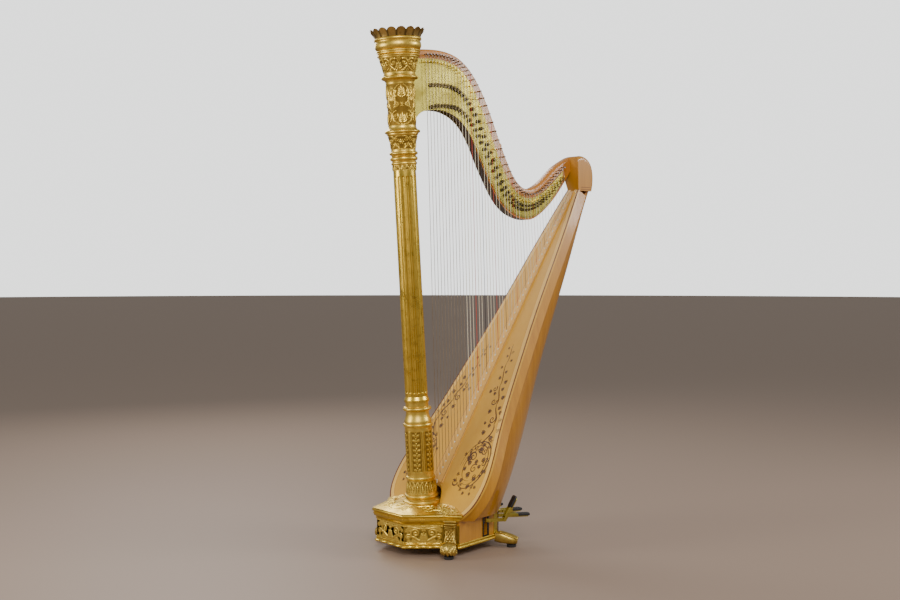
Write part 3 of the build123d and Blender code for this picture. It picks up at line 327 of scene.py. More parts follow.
def make_finishes():
    """Every material of the harp, by the name of its finish."""
    leaf, timber, tarnish = gilding_group(), grain_group(), tarnish_group()
    made = {
        # the third colour of each gilt is the painted shade put into carved recesses
        "gilt_wood": gilt("Burnished gold leaf", leaf, (232, 198, 82), (186, 148, 56), (112, 82, 28), 0.3),
        "carved": gilt("Carved gold leaf", leaf, (236, 202, 92), (186, 150, 62), (116, 86, 34), 0.36, True),
        "gilt_dark": gilt("Darkened gold leaf", leaf,
                          (206, 176, 90), (146, 116, 52), (66, 50, 24), 0.36, True),
        "crown_bronze": gilt("Bronzed gold leaf", leaf,
                             (190, 160, 92), (124, 94, 50), (60, 42, 22), 0.34, True),
        "maple": wood("Varnished maple", timber, (200, 140, 40), (150, 92, 20)),
        "neck": wood("Neck maple", timber, (204, 134, 44), (168, 94, 26), slope=math.radians(-40)),
        "rim": wood("Rim veneer", timber, (206, 146, 40), (160, 98, 20), slope=-SLOPE),
        "shell": wood("Body veneer", timber, (190, 130, 32), (134, 80, 14), slope=-SLOPE),
        "spruce": wood("Varnished spruce", timber, (220, 168, 56), (204, 144, 40), 0.5, 0.35, slope=-SLOPE),
        "rib": wood("Maple rib", timber, (232, 180, 84), (212, 150, 54), 0.5, slope=-SLOPE),
        "light_line": wood("Pale stringing", timber, (240, 194, 100), (224, 170, 76), 0.4, slope=-SLOPE),
        # dark lines, also used as the painted shade of the groove at the board's edge
        "dark_line": wood("Dark stringing and painted groove shade", timber, (104, 44, 14), (66, 26, 8), 0.5, slope=-SLOPE),
        "inner_wood": wood("Shaded pine", timber, (92, 62, 34), (60, 38, 20), 0.6, 0.0, 0.7),
        # dark finish for the engraved lines and for the painted shade on the neck's underside
        "engraving_and_shade": wood("Black engraving and painted underside shade", timber, (62, 46, 34), (32, 22, 16), 0.6, 0.2, 0.38),
        "paint": plain_timber("Umber paint", timber, (92, 50, 14), (54, 28, 8), 0.45),
        "brass": metal("Lacquered brass", tarnish, (206, 190, 92), (136, 118, 44), 0.75),
        "bronze": metal("Dark bronze", tarnish, (120, 104, 62), (44, 36, 22), 0.8, 0.3),
        "bridge_brass": metal("Turned brass", tarnish, (240, 220, 140), (186, 156, 76), 0.4, 0.2),
        "steel": metal("Steel", tarnish, (196, 194, 190), (120, 112, 104)),
        "pin_steel": metal("Blued steel", tarnish, (150, 146, 146), (84, 76, 74), 0.7, 0.22),
        "wire": metal("Wound wire", tarnish, (176, 160, 140), (96, 82, 70), 0.6, 0.35),
        "felt": plain_timber("Red felt", timber, (206, 30, 34), (150, 14, 20), 0.9,
                             sockets=[("Sheen Weight", 0.5)], bump=0.5),
        "pad_rubber": plain_timber("Black rubber", timber, (44, 42, 44), (22, 21, 23), 0.62),
        "knob": plain_timber("Black lacquer", timber, (40, 32, 30), (20, 16, 15), 0.25),
        "gut": plain_timber("Gut", timber, (232, 222, 200), (200, 188, 160), 0.35),
        "gut_red": plain_timber("Red gut", timber, (206, 66, 48), (160, 38, 30), 0.35),
        "gut_black": plain_timber("Black gut", timber, (46, 44, 52), (24, 24, 30), 0.32),
        "eyelet_bone": plain_timber("Bone", timber, (244, 236, 214), (218, 204, 172), 0.35),
    }
    for name in ("gut", "gut_red", "eyelet_bone"):
        made[name].node_tree.nodes["Principled BSDF"].inputs["Subsurface Weight"].default_value = 0.08
    return made


FINISH_OF_NODE = {
    "base_box": "maple", "base_casing": "gilt_wood", "base_panels": "gilt_wood",
    "base_bottom_rail": "gilt_wood", "base_floor_board": "inner_wood",
    "base_top_board": "inner_wood", "column_shaft": "gilt_wood",
    "column_base_drum": "gilt_wood", "column_capital": "gilt_wood", "crown": "crown_bronze",
    "front_feet": "gilt_dark", "rear_feet": "gilt_dark", "foot_pads": "pad_rubber", "rod_guides": "brass",
    "soundboard": "spruce", "body_rim": "rim", "body_shell": "shell", "body_end_block": "inner_wood",
    "rest_knob": "knob", "string_rib": "rib", "eyelets": "eyelet_bone", "neck": "neck",
    "shoulder_block": "maple",
    "action_plate_near": "brass", "action_plate_far": "brass", "plate_screws": "steel",
    "tuning_pins": "pin_steel", "bridge_pins": "bridge_brass", "natural_discs": "bronze",
    "sharp_discs": "bronze",
    "strings_wire": "wire", "strings_gut": "gut", "strings_red": "gut_red", "strings_black": "gut_black",
    "pedal_axle": "steel", "axle_brackets": "steel", "pedal_springs": "steel", "pedal_slot_plates": "knob",
    "slot_felts": "felt",
}
FINISH = {}


def finish_of(node):
    if node.startswith("pedal_rod_"):
        return "steel"
    return FINISH_OF_NODE.get(node, "brass")


# ---------------------------------------------------------------- making pieces
def mesh_from(shape, name):
    """Close a bmesh into a mesh, with its faces turned outwards."""
    bmesh.ops.remove_doubles(shape, verts=shape.verts, dist=0.00002)
    bmesh.ops.recalc_face_normals(shape, faces=shape.faces)
    mesh = bpy.data.meshes.new(name)
    shape.to_mesh(mesh)
    shape.free()
    return mesh


def add_piece(name, shape, finishes, body="frame", stands_for=(), sharp=35.0):
    """Put a finished shape in the scene, on its body and with its finishes, and free it."""
    mesh = mesh_from(shape, name)
    for finish in finishes:
        mesh.materials.append(FINISH[finish])
    mesh.polygons.foreach_set("use_smooth", [True] * len(mesh.polygons))
    mesh.set_sharp_from_angle(angle=math.radians(sharp))
    piece = bpy.data.objects.new(name, mesh)
    bpy.context.scene.collection.objects.link(piece)
    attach(piece, body)
    if stands_for:
        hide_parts(*stands_for)
    return piece


def turned(profile, steps):
    """A turned shape from (radius, height) points, closed round its bore, in millimetres."""
    shape = bmesh.new()
    verts = [shape.verts.new((r, 0, z)) for r, z in profile]
    edges = [shape.edges.new((a, b)) for a, b in zip(verts, verts[1:] + verts[:1])]
    bmesh.ops.spin(shape, geom=verts + edges, cent=(0, 0, 0), axis=(0, 0, 1), angle=math.tau, steps=steps,
                   use_merge=True)
    bmesh.ops.remove_doubles(shape, verts=shape.verts, dist=0.001)
    bmesh.ops.recalc_face_normals(shape, faces=shape.faces)
    return shape


def bead(z, radius, height, inner):
    """A rounded ring in a profile, from below to above."""
    turns = [math.radians(a) for a in range(-90, 91, 18)]
    return [(inner + (radius - inner) * math.cos(a), z + height / 2 * math.sin(a)) for a in turns]


def rows(r_low, z_low, r_high, z_high, step=2.2, bulge=0.0):
    """Evenly spaced profile points along a band that is to be carved."""
    count = max(2, round(abs(z_high - z_low) / step))
    made = []
    for i in range(count + 1):
        t = i / count
        made.append((r_low + (r_high - r_low) * t + bulge * math.sin(math.pi * t),
                     z_low + (z_high - z_low) * t))
    return made


def loft(shape, rings):
    """Join closed rings of points, in order, into a capped skin."""
    loops = []
    for ring in rings:
        verts = [shape.verts.new(p) for p in ring]
        loops.append((verts, [shape.edges.new((a, b)) for a, b in zip(verts, verts[1:] + verts[:1])]))
    for low, high in zip(loops, loops[1:]):
        bmesh.ops.bridge_loops(shape, edges=low[1] + high[1])
    shape.faces.new(loops[0][0])
    shape.faces.new(loops[-1][0])


def round_edges(shape, edges, radius, segments):
    bmesh.ops.bevel(shape, geom=edges, offset=radius, segments=segments, profile=0.5, affect="EDGES",
                    material=-1)


# ---------------------------------------------------------------- carving strokes
def scroll(x, y, size, start, turns, width, hand=1):
    """A spiral stroke that runs from its outside to its eye, as (x, y, half width)."""
    count = max(8, int(15 * turns))
    made = []
    for i in range(count + 1):
        t = i / count
        a = math.radians(start) + hand * math.tau * turns * t
        r = size * (1 - 0.88 * t ** 0.8)
        made.append((x + r * math.cos(a), y + r * math.sin(a), width * (1 - 0.45 * t)))
    made[-1] = made[-1][:2] + (width * 1.25,)
    return made


def sweep(a, b, c, d, width, tip=0.25, count=12):
    """A tapering stroke along a curve from a to d, pulled towards b and c."""
    made = []
    for i in range(count + 1):
        t = i / count
        k = ((1 - t) ** 3, 3 * t * (1 - t) ** 2, 3 * t * t * (1 - t), t ** 3)
        x, y = (sum(w * p[j] for w, p in zip(k, (a, b, c, d))) for j in (0, 1))
        made.append((x, y, width * (tip + (1 - tip) * math.sin(math.pi * min(1, t * 0.9 + 0.1)) ** 0.6)))
    return made


def leaf(x, y, angle, length, width, lobes=3):
    """A leaf of curling lobes on each side of a middle rib."""
    turn = math.radians(angle)
    ux, uy = math.cos(turn), math.sin(turn)

    def at(along, across):
        return x + along * ux - across * uy, y + along * uy + across * ux

    made = [sweep(at(0, 0), at(length * 0.3, 0), at(length * 0.7, 0), at(length, 0), width * 0.22)]
    for side in (-1, 1):
        for i in range(lobes):
            root = length * (0.08 + 0.62 * i / lobes)
            reach = width * (1 - 0.55 * i / lobes)
            rise = length * 0.3
            made.append(sweep(at(root, 0), at(root + rise * 0.2, side * reach * 0.7),
                              at(root + rise * 0.6, side * reach), at(root + rise, side * reach * 0.72),
                              width * 0.2, 0.3, 8))
    return made


def flower(x, y, size, petals=6):
    """A small round flower."""
    made = [[(x, y, size * 0.3), (x + 0.01, y, size * 0.3)]]
    for i in range(petals):
        a = math.tau * i / petals
        made.append([(x + size * 0.5 * math.cos(a), y + size * 0.5 * math.sin(a), size * 0.24),
                     (x + size * 0.85 * math.cos(a), y + size * 0.85 * math.sin(a), size * 0.26)])
    return made


def carve(across, along, strokes):
    """Height of the carving over a flat ground at each point, from rounded strokes."""
    height = np.zeros(len(across))
    for stroke in strokes:
        for (x0, y0, r0), (x1, y1, r1) in zip(stroke, stroke[1:]):
            dx, dy = x1 - x0, y1 - y0
            reach = max(r0, r1)
            near = np.nonzero((across > min(x0, x1) - reach) & (across < max(x0, x1) + reach)
                              & (along > min(y0, y1) - reach) & (along < max(y0, y1) + reach))[0]
            if not len(near):
                continue
            square = dx * dx + dy * dy + 1e-9
            t = np.clip(((across[near] - x0) * dx + (along[near] - y0) * dy) / square, 0, 1)
            off = (across[near] - x0 - t * dx) ** 2 + (along[near] - y0 - t * dy) ** 2
            r = r0 + (r1 - r0) * t
            height[near] = np.maximum(height[near], np.sqrt(np.maximum(0, 1 - off / (r * r))) * r)
    return height


def carve_band(shape, low, high, sectors, strokes, depth, offset=0.0, edge=3.0):
    """Carve a repeated, mirrored pattern round a turned band of a shape in millimetres."""
    hollow = shape.verts.layers.float.get("hollow") or shape.verts.layers.float.new("hollow")
    chosen = [v for v in shape.verts if low < v.co.z < high and math.hypot(v.co.x, v.co.y) > 35]
    radius = np.array([math.hypot(v.co.x, v.co.y) for v in chosen])
    angle = np.array([math.atan2(v.co.y, v.co.x) for v in chosen]) + offset
    z = np.array([v.co.z for v in chosen])
    part = math.tau / sectors
    folded = np.abs((angle + part / 2) % part - part / 2)
    height = carve(folded * radius.mean(), z - (low + high) / 2, strokes)
    fade = np.clip(np.minimum(z - low, high - z) / edge, 0, 1)
    for v, r, h, f in zip(chosen, radius, np.minimum(height, depth), fade):
        grow = 1 + (h - depth * 0.35) * f / r
        v.co.x *= grow
        v.co.y *= grow
        # painted shade: the mask rises where the carving sinks, to darken its recesses
        v[hollow] = max(0.0, 1 - h / (depth * 0.5)) * f * 0.85


def stroke_solid(strokes, flat, rings=2):
    """Strokes as rounded or flattened rods in their own plane, in millimetres."""
    curve = bpy.data.curves.new("strokes", "CURVE")
    curve.dimensions = "3D"
    curve.bevel_depth = 1.0
    curve.bevel_resolution = rings
    curve.use_fill_caps = True
    for stroke in strokes:
        spline = curve.splines.new("POLY")
        spline.points.add(len(stroke) - 1)
        for point, (x, y, r) in zip(spline.points, stroke):
            point.co = (x, y, 0, 1)
            point.radius = r
    holder = bpy.data.objects.new("strokes", curve)
    bpy.context.scene.collection.objects.link(holder)
    mesh = bpy.data.meshes.new_from_object(holder.evaluated_get(bpy.context.evaluated_depsgraph_get()))
    shape = bmesh.new()
    shape.from_mesh(mesh)
    bpy.data.objects.remove(holder)
    bpy.data.curves.remove(curve)
    bpy.data.meshes.remove(mesh)
    for v in shape.verts:
        v.co.z *= flat
    return shape


def step_at(line, i):
    """The step of a line either side of one of its points, and its length."""
    a, b = line[max(0, i - 1)], line[min(len(line) - 1, i + 1)]
    dx, dy = b[0] - a[0], b[1] - a[1]
    return dx, dy, math.hypot(dx, dy)


def move_all(shape, where):
    """Send every vertex through a function of its own coordinates."""
    for v in shape.verts:
        v.co = where(v.co)


# ---------------------------------------------------------------- column
def build_drum():
    profile = [(29, 166.5), (69, 166.5), (71, 168), (71, 178), (69.5, 181), (63, 184), (59, 188)]
    profile += bead(196, 62, 13, 57) + [(57, 205)]
    profile += rows(57, 209, 49.5, 253) + bead(262, 54.5, 13, 49.5)
    profile += [(49, 272), (49, 281)] + rows(49.5, 285, 49.5, 437) + bead(456, 54, 14, 49.5)
    profile += [(50, 468), (48.5, 474), (45.5, 482), (42.5, 492), (42, 498)] + bead(515, 52, 16, 42)
    profile += [(42, 528), (42, 539.5), (29, 539.5)]
    shape = turned(profile, 216)
    arch = [sweep((0.1, 18), (9, 8), (8.6, -4), (9, -20), 1.6, 0.7),
            [(0, -18, 2.4), (0, -4, 3.4), (0, 10, 0.8)],
            sweep((9, -20), (6, -12), (3, -12), (0.1, -20), 1.2, 0.8)]
    carve_band(shape, 210, 252, 18, arch, 2.2)
    diaper = []
    for i in range(9):
        y = -72 + 18 * i
        diaper += [scroll(8.5, y + 4, 6.2, 200, 1.2, 1.5, -1), leaf(2, y - 4, 60, 13, 5, 2)[0],
                   [(0.2, y + 11, 2.2), (0.3, y + 14, 1.6)],
                   sweep((2, y), (6, y + 12), (12, y + 2), (15, y + 12), 1.3)]
    fillets = [[(19.5, -74, 1.5), (19.5, 74, 1.5)], [(24.5, -74, 2.0), (24.5, 74, 2.0)]]
    carve_band(shape, 286, 436, 6, diaper + fillets, 2.4, offset=0.3)
    bmesh.ops.transform(shape, matrix=column_matrix(), verts=shape.verts)
    add_piece("carved_drum", shape, ["carved"],
              stands_for=["column_base_drum"])


def build_capital():
    profile = [(29, 1377.5), (43, 1377.5)] + rows(43, 1380, 43.5, 1394, 2.0) + bead(1403, 47, 11, 43)
    profile += bead(1420, 50, 15, 43.5) + bead(1439, 51.5, 12, 45) + rows(44.5, 1450, 54, 1503, 2.2, -1.5)
    profile += [(57, 1507)] + bead(1516, 64, 12, 57) + [(54, 1524), (51, 1530)] + rows(50, 1535, 51.5, 1688)
    profile += [(52, 1694), (56, 1700)] + bead(1708, 66.5, 14, 57) + [(57.5, 1718)]
    profile += rows(58, 1723, 72, 1779, 2.2, -2.0) + bead(1786, 77, 8, 72) + [(76, 1794)]
    profile += bead(1801, 79, 8, 76) + [(80, 1809), (83, 1814), (84, 1822), (83, 1830), (80.5, 1834)]
    profile += bead(1843, 85.5, 12, 81) + [(81, 1850), (70, 1850), (60, 1846), (29, 1846)]
    shape = turned(profile, 224)
    tips = leaf(0, -7, 90, 16, 8, 2) + [sweep((16, 8), (12, -2), (10, -6), (8, -8), 1.8)]
    carve_band(shape, 1379, 1396, 8, tips, 1.6, edge=1.5)
    rosette = flower(0, 2, 9) + [scroll(18, 12, 8, 200, 1.3, 1.9), scroll(18, -12, 8, 160, 1.3, 1.9, -1)]
    rosette += [sweep((2, -22), (14, -26), (24, -8), (26, 2), 2.2),
                sweep((2, 22), (12, 24), (22, 20), (26, 10), 2.0)]
    rosette += leaf(8, -18, 20, 12, 6, 2)
    carve_band(shape, 1452, 1502, 6, rosette, 2.8, offset=0.2)
    panel = [scroll(27, 42, 15, 250, 1.5, 3.2), scroll(24, -40, 17, 90, 1.6, 3.4, -1),
             sweep((6, 70), (44, 58), (8, 6), (38, -22), 3.4),
             sweep((2, -72), (20, -70), (44, -58), (38, -30), 3.0)]
    panel += leaf(0, 22, 90, 46, 15, 4) + leaf(0, -68, 90, 40, 15, 4) + leaf(14, 6, -40, 26, 10, 3)
    panel += leaf(30, 12, 70, 24, 9, 3) + flower(0, 0, 9) + leaf(38, 66, -100, 20, 8, 2)
    carve_band(shape, 1537, 1686, 4, panel, 3.2, offset=0.55)
    swag = [scroll(20, 6, 15, 120, 1.2, 2.8, -1), sweep((0.2, -22), (16, -22), (30, -14), (35, 6), 2.6)]
    swag += leaf(0, -18, 90, 30, 12, 3) + flower(0, 18, 8) + leaf(28, 18, 120, 14, 7, 2)
    swag += leaf(34, -24, 90, 16, 6, 2)
    swag += flower(18, 6, 6)
    carve_band(shape, 1724, 1778, 6, swag, 3.4, offset=0.1)
    bmesh.ops.transform(shape, matrix=column_matrix(), verts=shape.verts)
    add_piece("carved_capital", shape, ["carved"],
              stands_for=["column_capital"])


def build_crown():
    petals, across, up = 17, 14, 10
    outer = rows(CROWN_RADIUS, CROWN_LOW, 97, 1878.5, CROWN_RISE / up)
    profile = outer + [(r - 2.6, z) for r, z in reversed(outer)]
    shape = turned(profile, petals * across)
    hollow = shape.verts.layers.float.new("hollow")
    for v in shape.verts:
        r, angle = math.hypot(v.co.x, v.co.y), math.atan2(v.co.y, v.co.x)
        t = (v.co.z - CROWN_LOW) / CROWN_RISE
        petal = (angle / math.tau * petals) % 1.0
        middle = 1 - abs(2 * petal - 1)
        arch = 0.62 + 0.38 * math.sin(math.pi * min(1, middle) / 2) ** 0.55
        rib = 1.5 * math.exp(-((middle - 1) / 0.12) ** 2) + 0.7 * math.cos(6 * math.pi * middle) * t
        swell = 2.6 * (math.sin(math.pi * middle / 2) - 0.7) * t + rib * t * 0.8
        grow = (CROWN_RADIUS + (r - CROWN_RADIUS) * (0.55 + 0.45 * t) + swell) / r
        v.co.x *= grow
        v.co.y *= grow
        v.co.z = CROWN_LOW + 31.5 * t * arch
        # painted shade: darker between the leaves and towards their foot
        v[hollow] = max(0.0, min(1.0, (0.35 - middle) * 2.2 + 0.25 * (1 - t)))
    bmesh.ops.transform(shape, matrix=column_matrix(), verts=shape.verts)
    add_piece("crown_leaves", shape, ["crown_bronze"],
              stands_for=["crown"], sharp=60)


# ---------------------------------------------------------------- base
def grown_plan(grow):
    """The half plan of the base set out from its faces by an even distance, front to back."""
    corners = [(BASE_PLAN[0][0], 0)] + BASE_PLAN
    made = []
    for i, corner in enumerate(corners[1:], 1):
        before = Vector(corner) - Vector(corners[i - 1])
        after = (Vector(corners[i + 1]) - Vector(corner)) if i + 1 < len(corners) else before
        n1 = Vector((-before.y, before.x)).normalized()
        n2 = Vector((-after.y, after.x)).normalized()
        half = (n1 + n2).normalized()
        made.append(Vector(corner) + half * (grow / half.dot(n1)))
    return [tuple(p) for p in made]


def plan_ring(grow, height):
    """The closed plan at one height, front half mirrored."""
    half = grown_plan(grow)
    ring = half + [(x, -y) for x, y in reversed(half)]
    return [place(x, y, height) for x, y in ring]


CASING_SLOPE = [(16.0, 152.0), (9.0, 154.5), (-4.0, 158.0), (-20.0, 163.5), (-38.0, 169.0), (-56.0, 172.5)]


def casing_profile():
    """Outset and height up the moulded casing of the base, then over its sloping top."""
    made = [(1, 112), (5, 112.5), (6, 117), (4, 119.5)]
    made += [(4 + 9 * math.sin(a), 132 - 11 * math.cos(a)) for a in (0.15, 0.5, 0.9, 1.3, 1.57)]
    made += [(14.2, 132.6), (14.2, 136.4), (11.5, 137.2), (11.5, 139)]
    made += [(11 + 7 * math.cos(a), 145.5 + 6.2 * math.sin(a)) for a in np.linspace(-1.5, 1.4, 10)]
    return made + CASING_SLOPE


def casing_height(x, y):
    """Height of the casing's sloping top over a point of its plan."""
    spans = []
    y = abs(y)
    for a, b in zip(BASE_PLAN, BASE_PLAN[1:]):
        dx, dy = b[0] - a[0], b[1] - a[1]
        spans.append(((y - a[1]) * dx - (x - a[0]) * dy) / math.hypot(dx, dy))
    out = max(BASE_PLAN[0][0] - x, min(spans[0], spans[1]), spans[2])
    return read_off(sorted(CASING_SLOPE), out)


def build_casing():
    shape = bmesh.new()
    loft(shape, [plan_ring(grow, z) for grow, z in casing_profile()])
    bmesh.ops.recalc_face_normals(shape, faces=shape.faces)
    cut = bmesh.ops.bisect_plane(shape, geom=shape.verts[:] + shape.edges[:] + shape.faces[:],
                                 plane_co=on_board(0, 0, 1.5),
                                 plane_no=(math.cos(SLOPE), 0, -math.sin(SLOPE)), clear_outer=True)
    bmesh.ops.holes_fill(shape, edges=[e for e in cut["geom_cut"] if isinstance(e, bmesh.types.BMEdge)])
    add_piece("moulded_casing", shape, ["gilt_wood"],
              stands_for=["base_casing"], sharp=50)


def perimeter(grow):
    """The front of the base as a line in plan, from one wing round to the other."""
    half = grown_plan(grow)[:3]
    return [(x, -y) for x, y in reversed(half)] + half


def along_line(line, share):
    """A point and outward direction at a share of a line's length."""
    spans = [math.dist(a, b) for a, b in zip(line, line[1:])]
    left = share * sum(spans)
    for (a, b), span in zip(zip(line, line[1:]), spans):
        if left <= span or (a, b) == (line[-2], line[-1]):
            t = min(1.0, left / span)
            dx, dy = (b[0] - a[0]) / span, (b[1] - a[1]) / span
            return a[0] + dx * span * t, a[1] + dy * span * t, -dy, dx
        left -= span
    return None


def panel_strokes():
    """Foliage for the front panel and for each facet, by distance round the base."""
    foliage = []
    for middle, half in ((0.0, 80.0), (154.0, 66.0), (-154.0, 66.0)):
        for side in (-1, 1):
            foliage += [
                scroll(middle + side * half * 0.45, 4, 19, 90 - side * 150, 1.5, 3.2, side),
                sweep((middle, -24), (middle + side * 22, -30), (middle + side * 44, 8),
                      (middle + side * half * 0.8, -16), 3.4),
                scroll(middle + side * half * 0.83, -10, 11, 90 + side * 60, 1.3, 2.6, -side),
                sweep((middle + side * 8, 24), (middle + side * 20, 12), (middle + side * 30, 32),
                      (middle + side * half * 0.86, 20), 2.6)]
            foliage += leaf(middle + side * half * 0.62, 14, 90 - side * 50, 24, 10, 3)
            foliage += leaf(middle + side * half * 0.34, -18, 90 - side * 110, 24, 9, 3)
            foliage += leaf(middle + side * half * 0.95, 8, 90 + side * 30, 16, 8, 2)
            for step in (0.12, 0.3, 0.52, 0.74):
                foliage += leaf(middle + side * half * step, 26, -90 + side * 35, 13, 6, 2)
                foliage += leaf(middle + side * half * (step + 0.1), -28, 90 + side * 25, 13, 6, 2)
        foliage += leaf(middle, -26, 90, 34, 15, 4) + flower(middle, 20, 10)
    frame_lines = [[(x0, y, 2.0), (x1, y, 2.0)] for y in (-30, 30)
                   for x0, x1 in ((-82, 82), (88, 220), (-220, -88))]
    posts = [[(x, -30, 2.2), (x, 30, 2.2)] for x in (-221, -87, 87, 221)]
    return foliage + frame_lines + posts


def build_panels():
    line = perimeter(0.2)
    length = sum(math.dist(a, b) for a, b in zip(line, line[1:]))
    wide, tall = int(length / 1.7), 40
    shape = bmesh.new()
    bmesh.ops.create_grid(shape, x_segments=wide, y_segments=tall, size=0.5)
    hollow = shape.verts.layers.float.new("hollow")
    verts = shape.verts[:]
    share = np.array([v.co.x + 0.5 for v in verts])
    rise = np.array([v.co.y + 0.5 for v in verts])
    across = (share - 0.5) * length
    up = (rise - 0.5) * (PANEL_HIGH - PANEL_LOW)
    height = np.minimum(carve(across, up, panel_strokes()), 4.0)
    for v, s, t, h in zip(verts, share, rise, height):
        x, y, nx, ny = along_line(line, s)
        out = 1.8 + h * 0.62
        v.co = place(x + nx * out, y + ny * out, PANEL_LOW + t * (PANEL_HIGH - PANEL_LOW))
        # painted shade on the ground between the carved foliage
        v[hollow] = max(0.0, 1 - h / 1.4) * 0.34
    bmesh.ops.solidify(shape, geom=shape.faces[:], thickness=0.0012)
    add_piece("carved_panels", shape, ["carved"],
              stands_for=["base_panels"], sharp=60)


def build_base_top_carving():
    """Raised scrolls and leaves on the flat of the casing, beside the column."""
    strokes = []
    for side in (-1, 1):
        strokes += [scroll(-4, side * 128, 19, 40, 1.4, 4.0, side),
                    scroll(-36, side * 104, 14, 200, 1.3, 3.4, -side),
                    sweep((-86, side * 60), (-70, side * 96), (-40, side * 76), (-26, side * 122), 4.0),
                    sweep((8, side * 152), (-10, side * 160), (-30, side * 140), (-58, side * 118), 3.6),
                    scroll(-104, side * 52, 13, 300, 1.3, 3.2, side)]
        strokes += leaf(-22, side * 140, side * 60, 34, 13, 3) + leaf(-60, side * 92, side * 130, 30, 12, 3)
        strokes += leaf(-92, side * 66, side * 215, 28, 11, 3) + leaf(0, side * 104, side * 20, 20, 8, 2)
        strokes += leaf(-14, side * 182, side * 250, 30, 12, 3) + leaf(2, side * 170, side * 100, 26, 11, 3)
        strokes += leaf(-46, side * 132, side * 225, 32, 12, 3) + leaf(-124, side * 66, side * 280, 26, 10, 3)
        strokes += [scroll(4, side * 194, 10, 90, 1.2, 3.0, side),
                    scroll(-66, side * 116, 11, 0, 1.2, 3.0, side),
                    sweep((-132, side * 8), (-128, side * 30), (-112, side * 34), (-104, side * 40), 3.0)]
    strokes += leaf(-84, 0, 180, 36, 16, 4) + leaf(-120, 20, 100, 24, 9, 3) + leaf(-120, -20, -100, 24, 9, 3)
    shape = stroke_solid(strokes, 0.8)
    move_all(shape, lambda co: place(co.x, co.y, casing_height(co.x, co.y) + co.z))
    behind, face = Vector((math.cos(SLOPE), 0, -math.sin(SLOPE))), on_board(0, 0, 2)
    for v in shape.verts:
        v.co.x -= max(0.0, (v.co - face).dot(behind)) / math.cos(SLOPE)
    add_piece("base_top_carving", shape, ["gilt_wood"])


def lip_ring(grow, height, wave):
    """The plan of the bottom lip with a scalloped edge in front."""
    half = grown_plan(grow)
    radius = (REAR_HALF ** 2 + REAR_SAG ** 2) / (2 * REAR_SAG)
    centre = BACK_X - radius
    line = [(half[0][0], 0.0)] + half
    dense = []
    for a, b in zip(line, line[1:]):
        steps = max(1, int(math.dist(a, b) / 4))
        dx, dy = b[0] - a[0], b[1] - a[1]
        size = math.hypot(dx, dy)
        for i in range(steps):
            t = i / steps
            out = wave * (0.5 + 0.5 * math.cos(math.tau * t * max(1, round(size / 46))))
            if a[0] > 5:
                out = wave * 0.3
            dense.append((a[0] + dx * t - dy / size * out, a[1] + dy * t + dx / size * out))
    reach = radius + grow
    first = math.asin(min(1, half[-1][1] / reach))
    dense += [(centre + reach * math.cos(a), reach * math.sin(a)) for a in np.linspace(first, 0.02, 24)]
    dense += [(centre + reach, 0.0)]
    ring = dense + [(x, -y) for x, y in reversed(dense[1:-1])]
    return [place(x, y, height) for x, y in ring]


def build_bottom_lip():
    shape = bmesh.new()
    steps = [(0.5, 47.9, 0), (3, 47.6, 1), (4.5, 45, 1.5), (3.6, 42, 1.5), (2.6, 39.5, 2), (5.2, 36.5, 4.5),
             (5.6, 33, 5), (4.6, 30.5, 4.5), (1, 30.1, 2)]
    loft(shape, [lip_ring(grow, z, wave) for grow, z, wave in steps])
    add_piece("scalloped_lip", shape, ["gilt_wood"],
              stands_for=["base_bottom_rail"], sharp=50)


# ---------------------------------------------------------------- feet
def strip_sweep(shape, path, width, where):
    """A rounded strip swept along (out, up, thickness) points, with its ends closed."""
    rings = []
    for i, (out, up, thick) in enumerate(path):
        dx, dz, size = step_at(path, i)
        nx, nz = -dz / size, dx / size
        half = width[i] / 2
        ring = []
        for k in range(16):
            turn = math.tau * k / 16
            c, s = math.cos(turn), math.sin(turn)
            across = half * math.copysign(abs(c) ** 0.45, c)
            lift = thick / 2 * math.copysign(abs(s) ** 0.6, s)
            ring.append(where(out + nx * lift, across, up + nz * lift))
        rings.append(ring)
    loft(shape, rings)


def foot_place(middle, angle):
    """From out, across and up on a foot to the frame of the packed model."""
    turn = math.radians(angle)

    def where(out, across, up):
        return place(middle[0] + out * math.cos(turn) - across * math.sin(turn),
                     middle[1] + out * math.sin(turn) + across * math.cos(turn), up)
    return where


FOOT_FRONT = [(8, 50), (14, 56), (22, 60), (31, 61), (40, 59), (50, 52), (58, 42), (66, 32), (78, 25),
              (94, 22), (112, 23)]


FOOT_RINGS = [(128.5, 8, 24, 46), (119.5, 7, 27, 42), (111, 6, 25, 42), (104.5, 4, 23, 38)]
FOOT_COIL = [(8, 25), (30, 26), (50, 22), (64, 16)]
PAW_TOP = [(2, 53), (24, 53), (48, 45), (70, 38), (86, 31)]


def foot_front(up):
    """How far out the front of a console foot stands at a height."""
    return read_off(FOOT_FRONT, up)


def front_foot_path():
    """The console of a front foot, from its head down to the eye of its volute."""
    made = smooth_line([(12, 124, 14), (13, 112, 15), (12, 98, 16), (12, 84, 17), (15, 70, 18),
                        (23, 58, 18), (33, 50, 17)], 18)
    for i in range(22):
        t = i / 21
        a = math.radians(78) - math.tau * 1.1 * t
        r = 19 * (1 - 0.72 * t)
        made.append((37 + r * math.cos(a), 31 + r * math.sin(a), 13 - 7 * t))
    return made


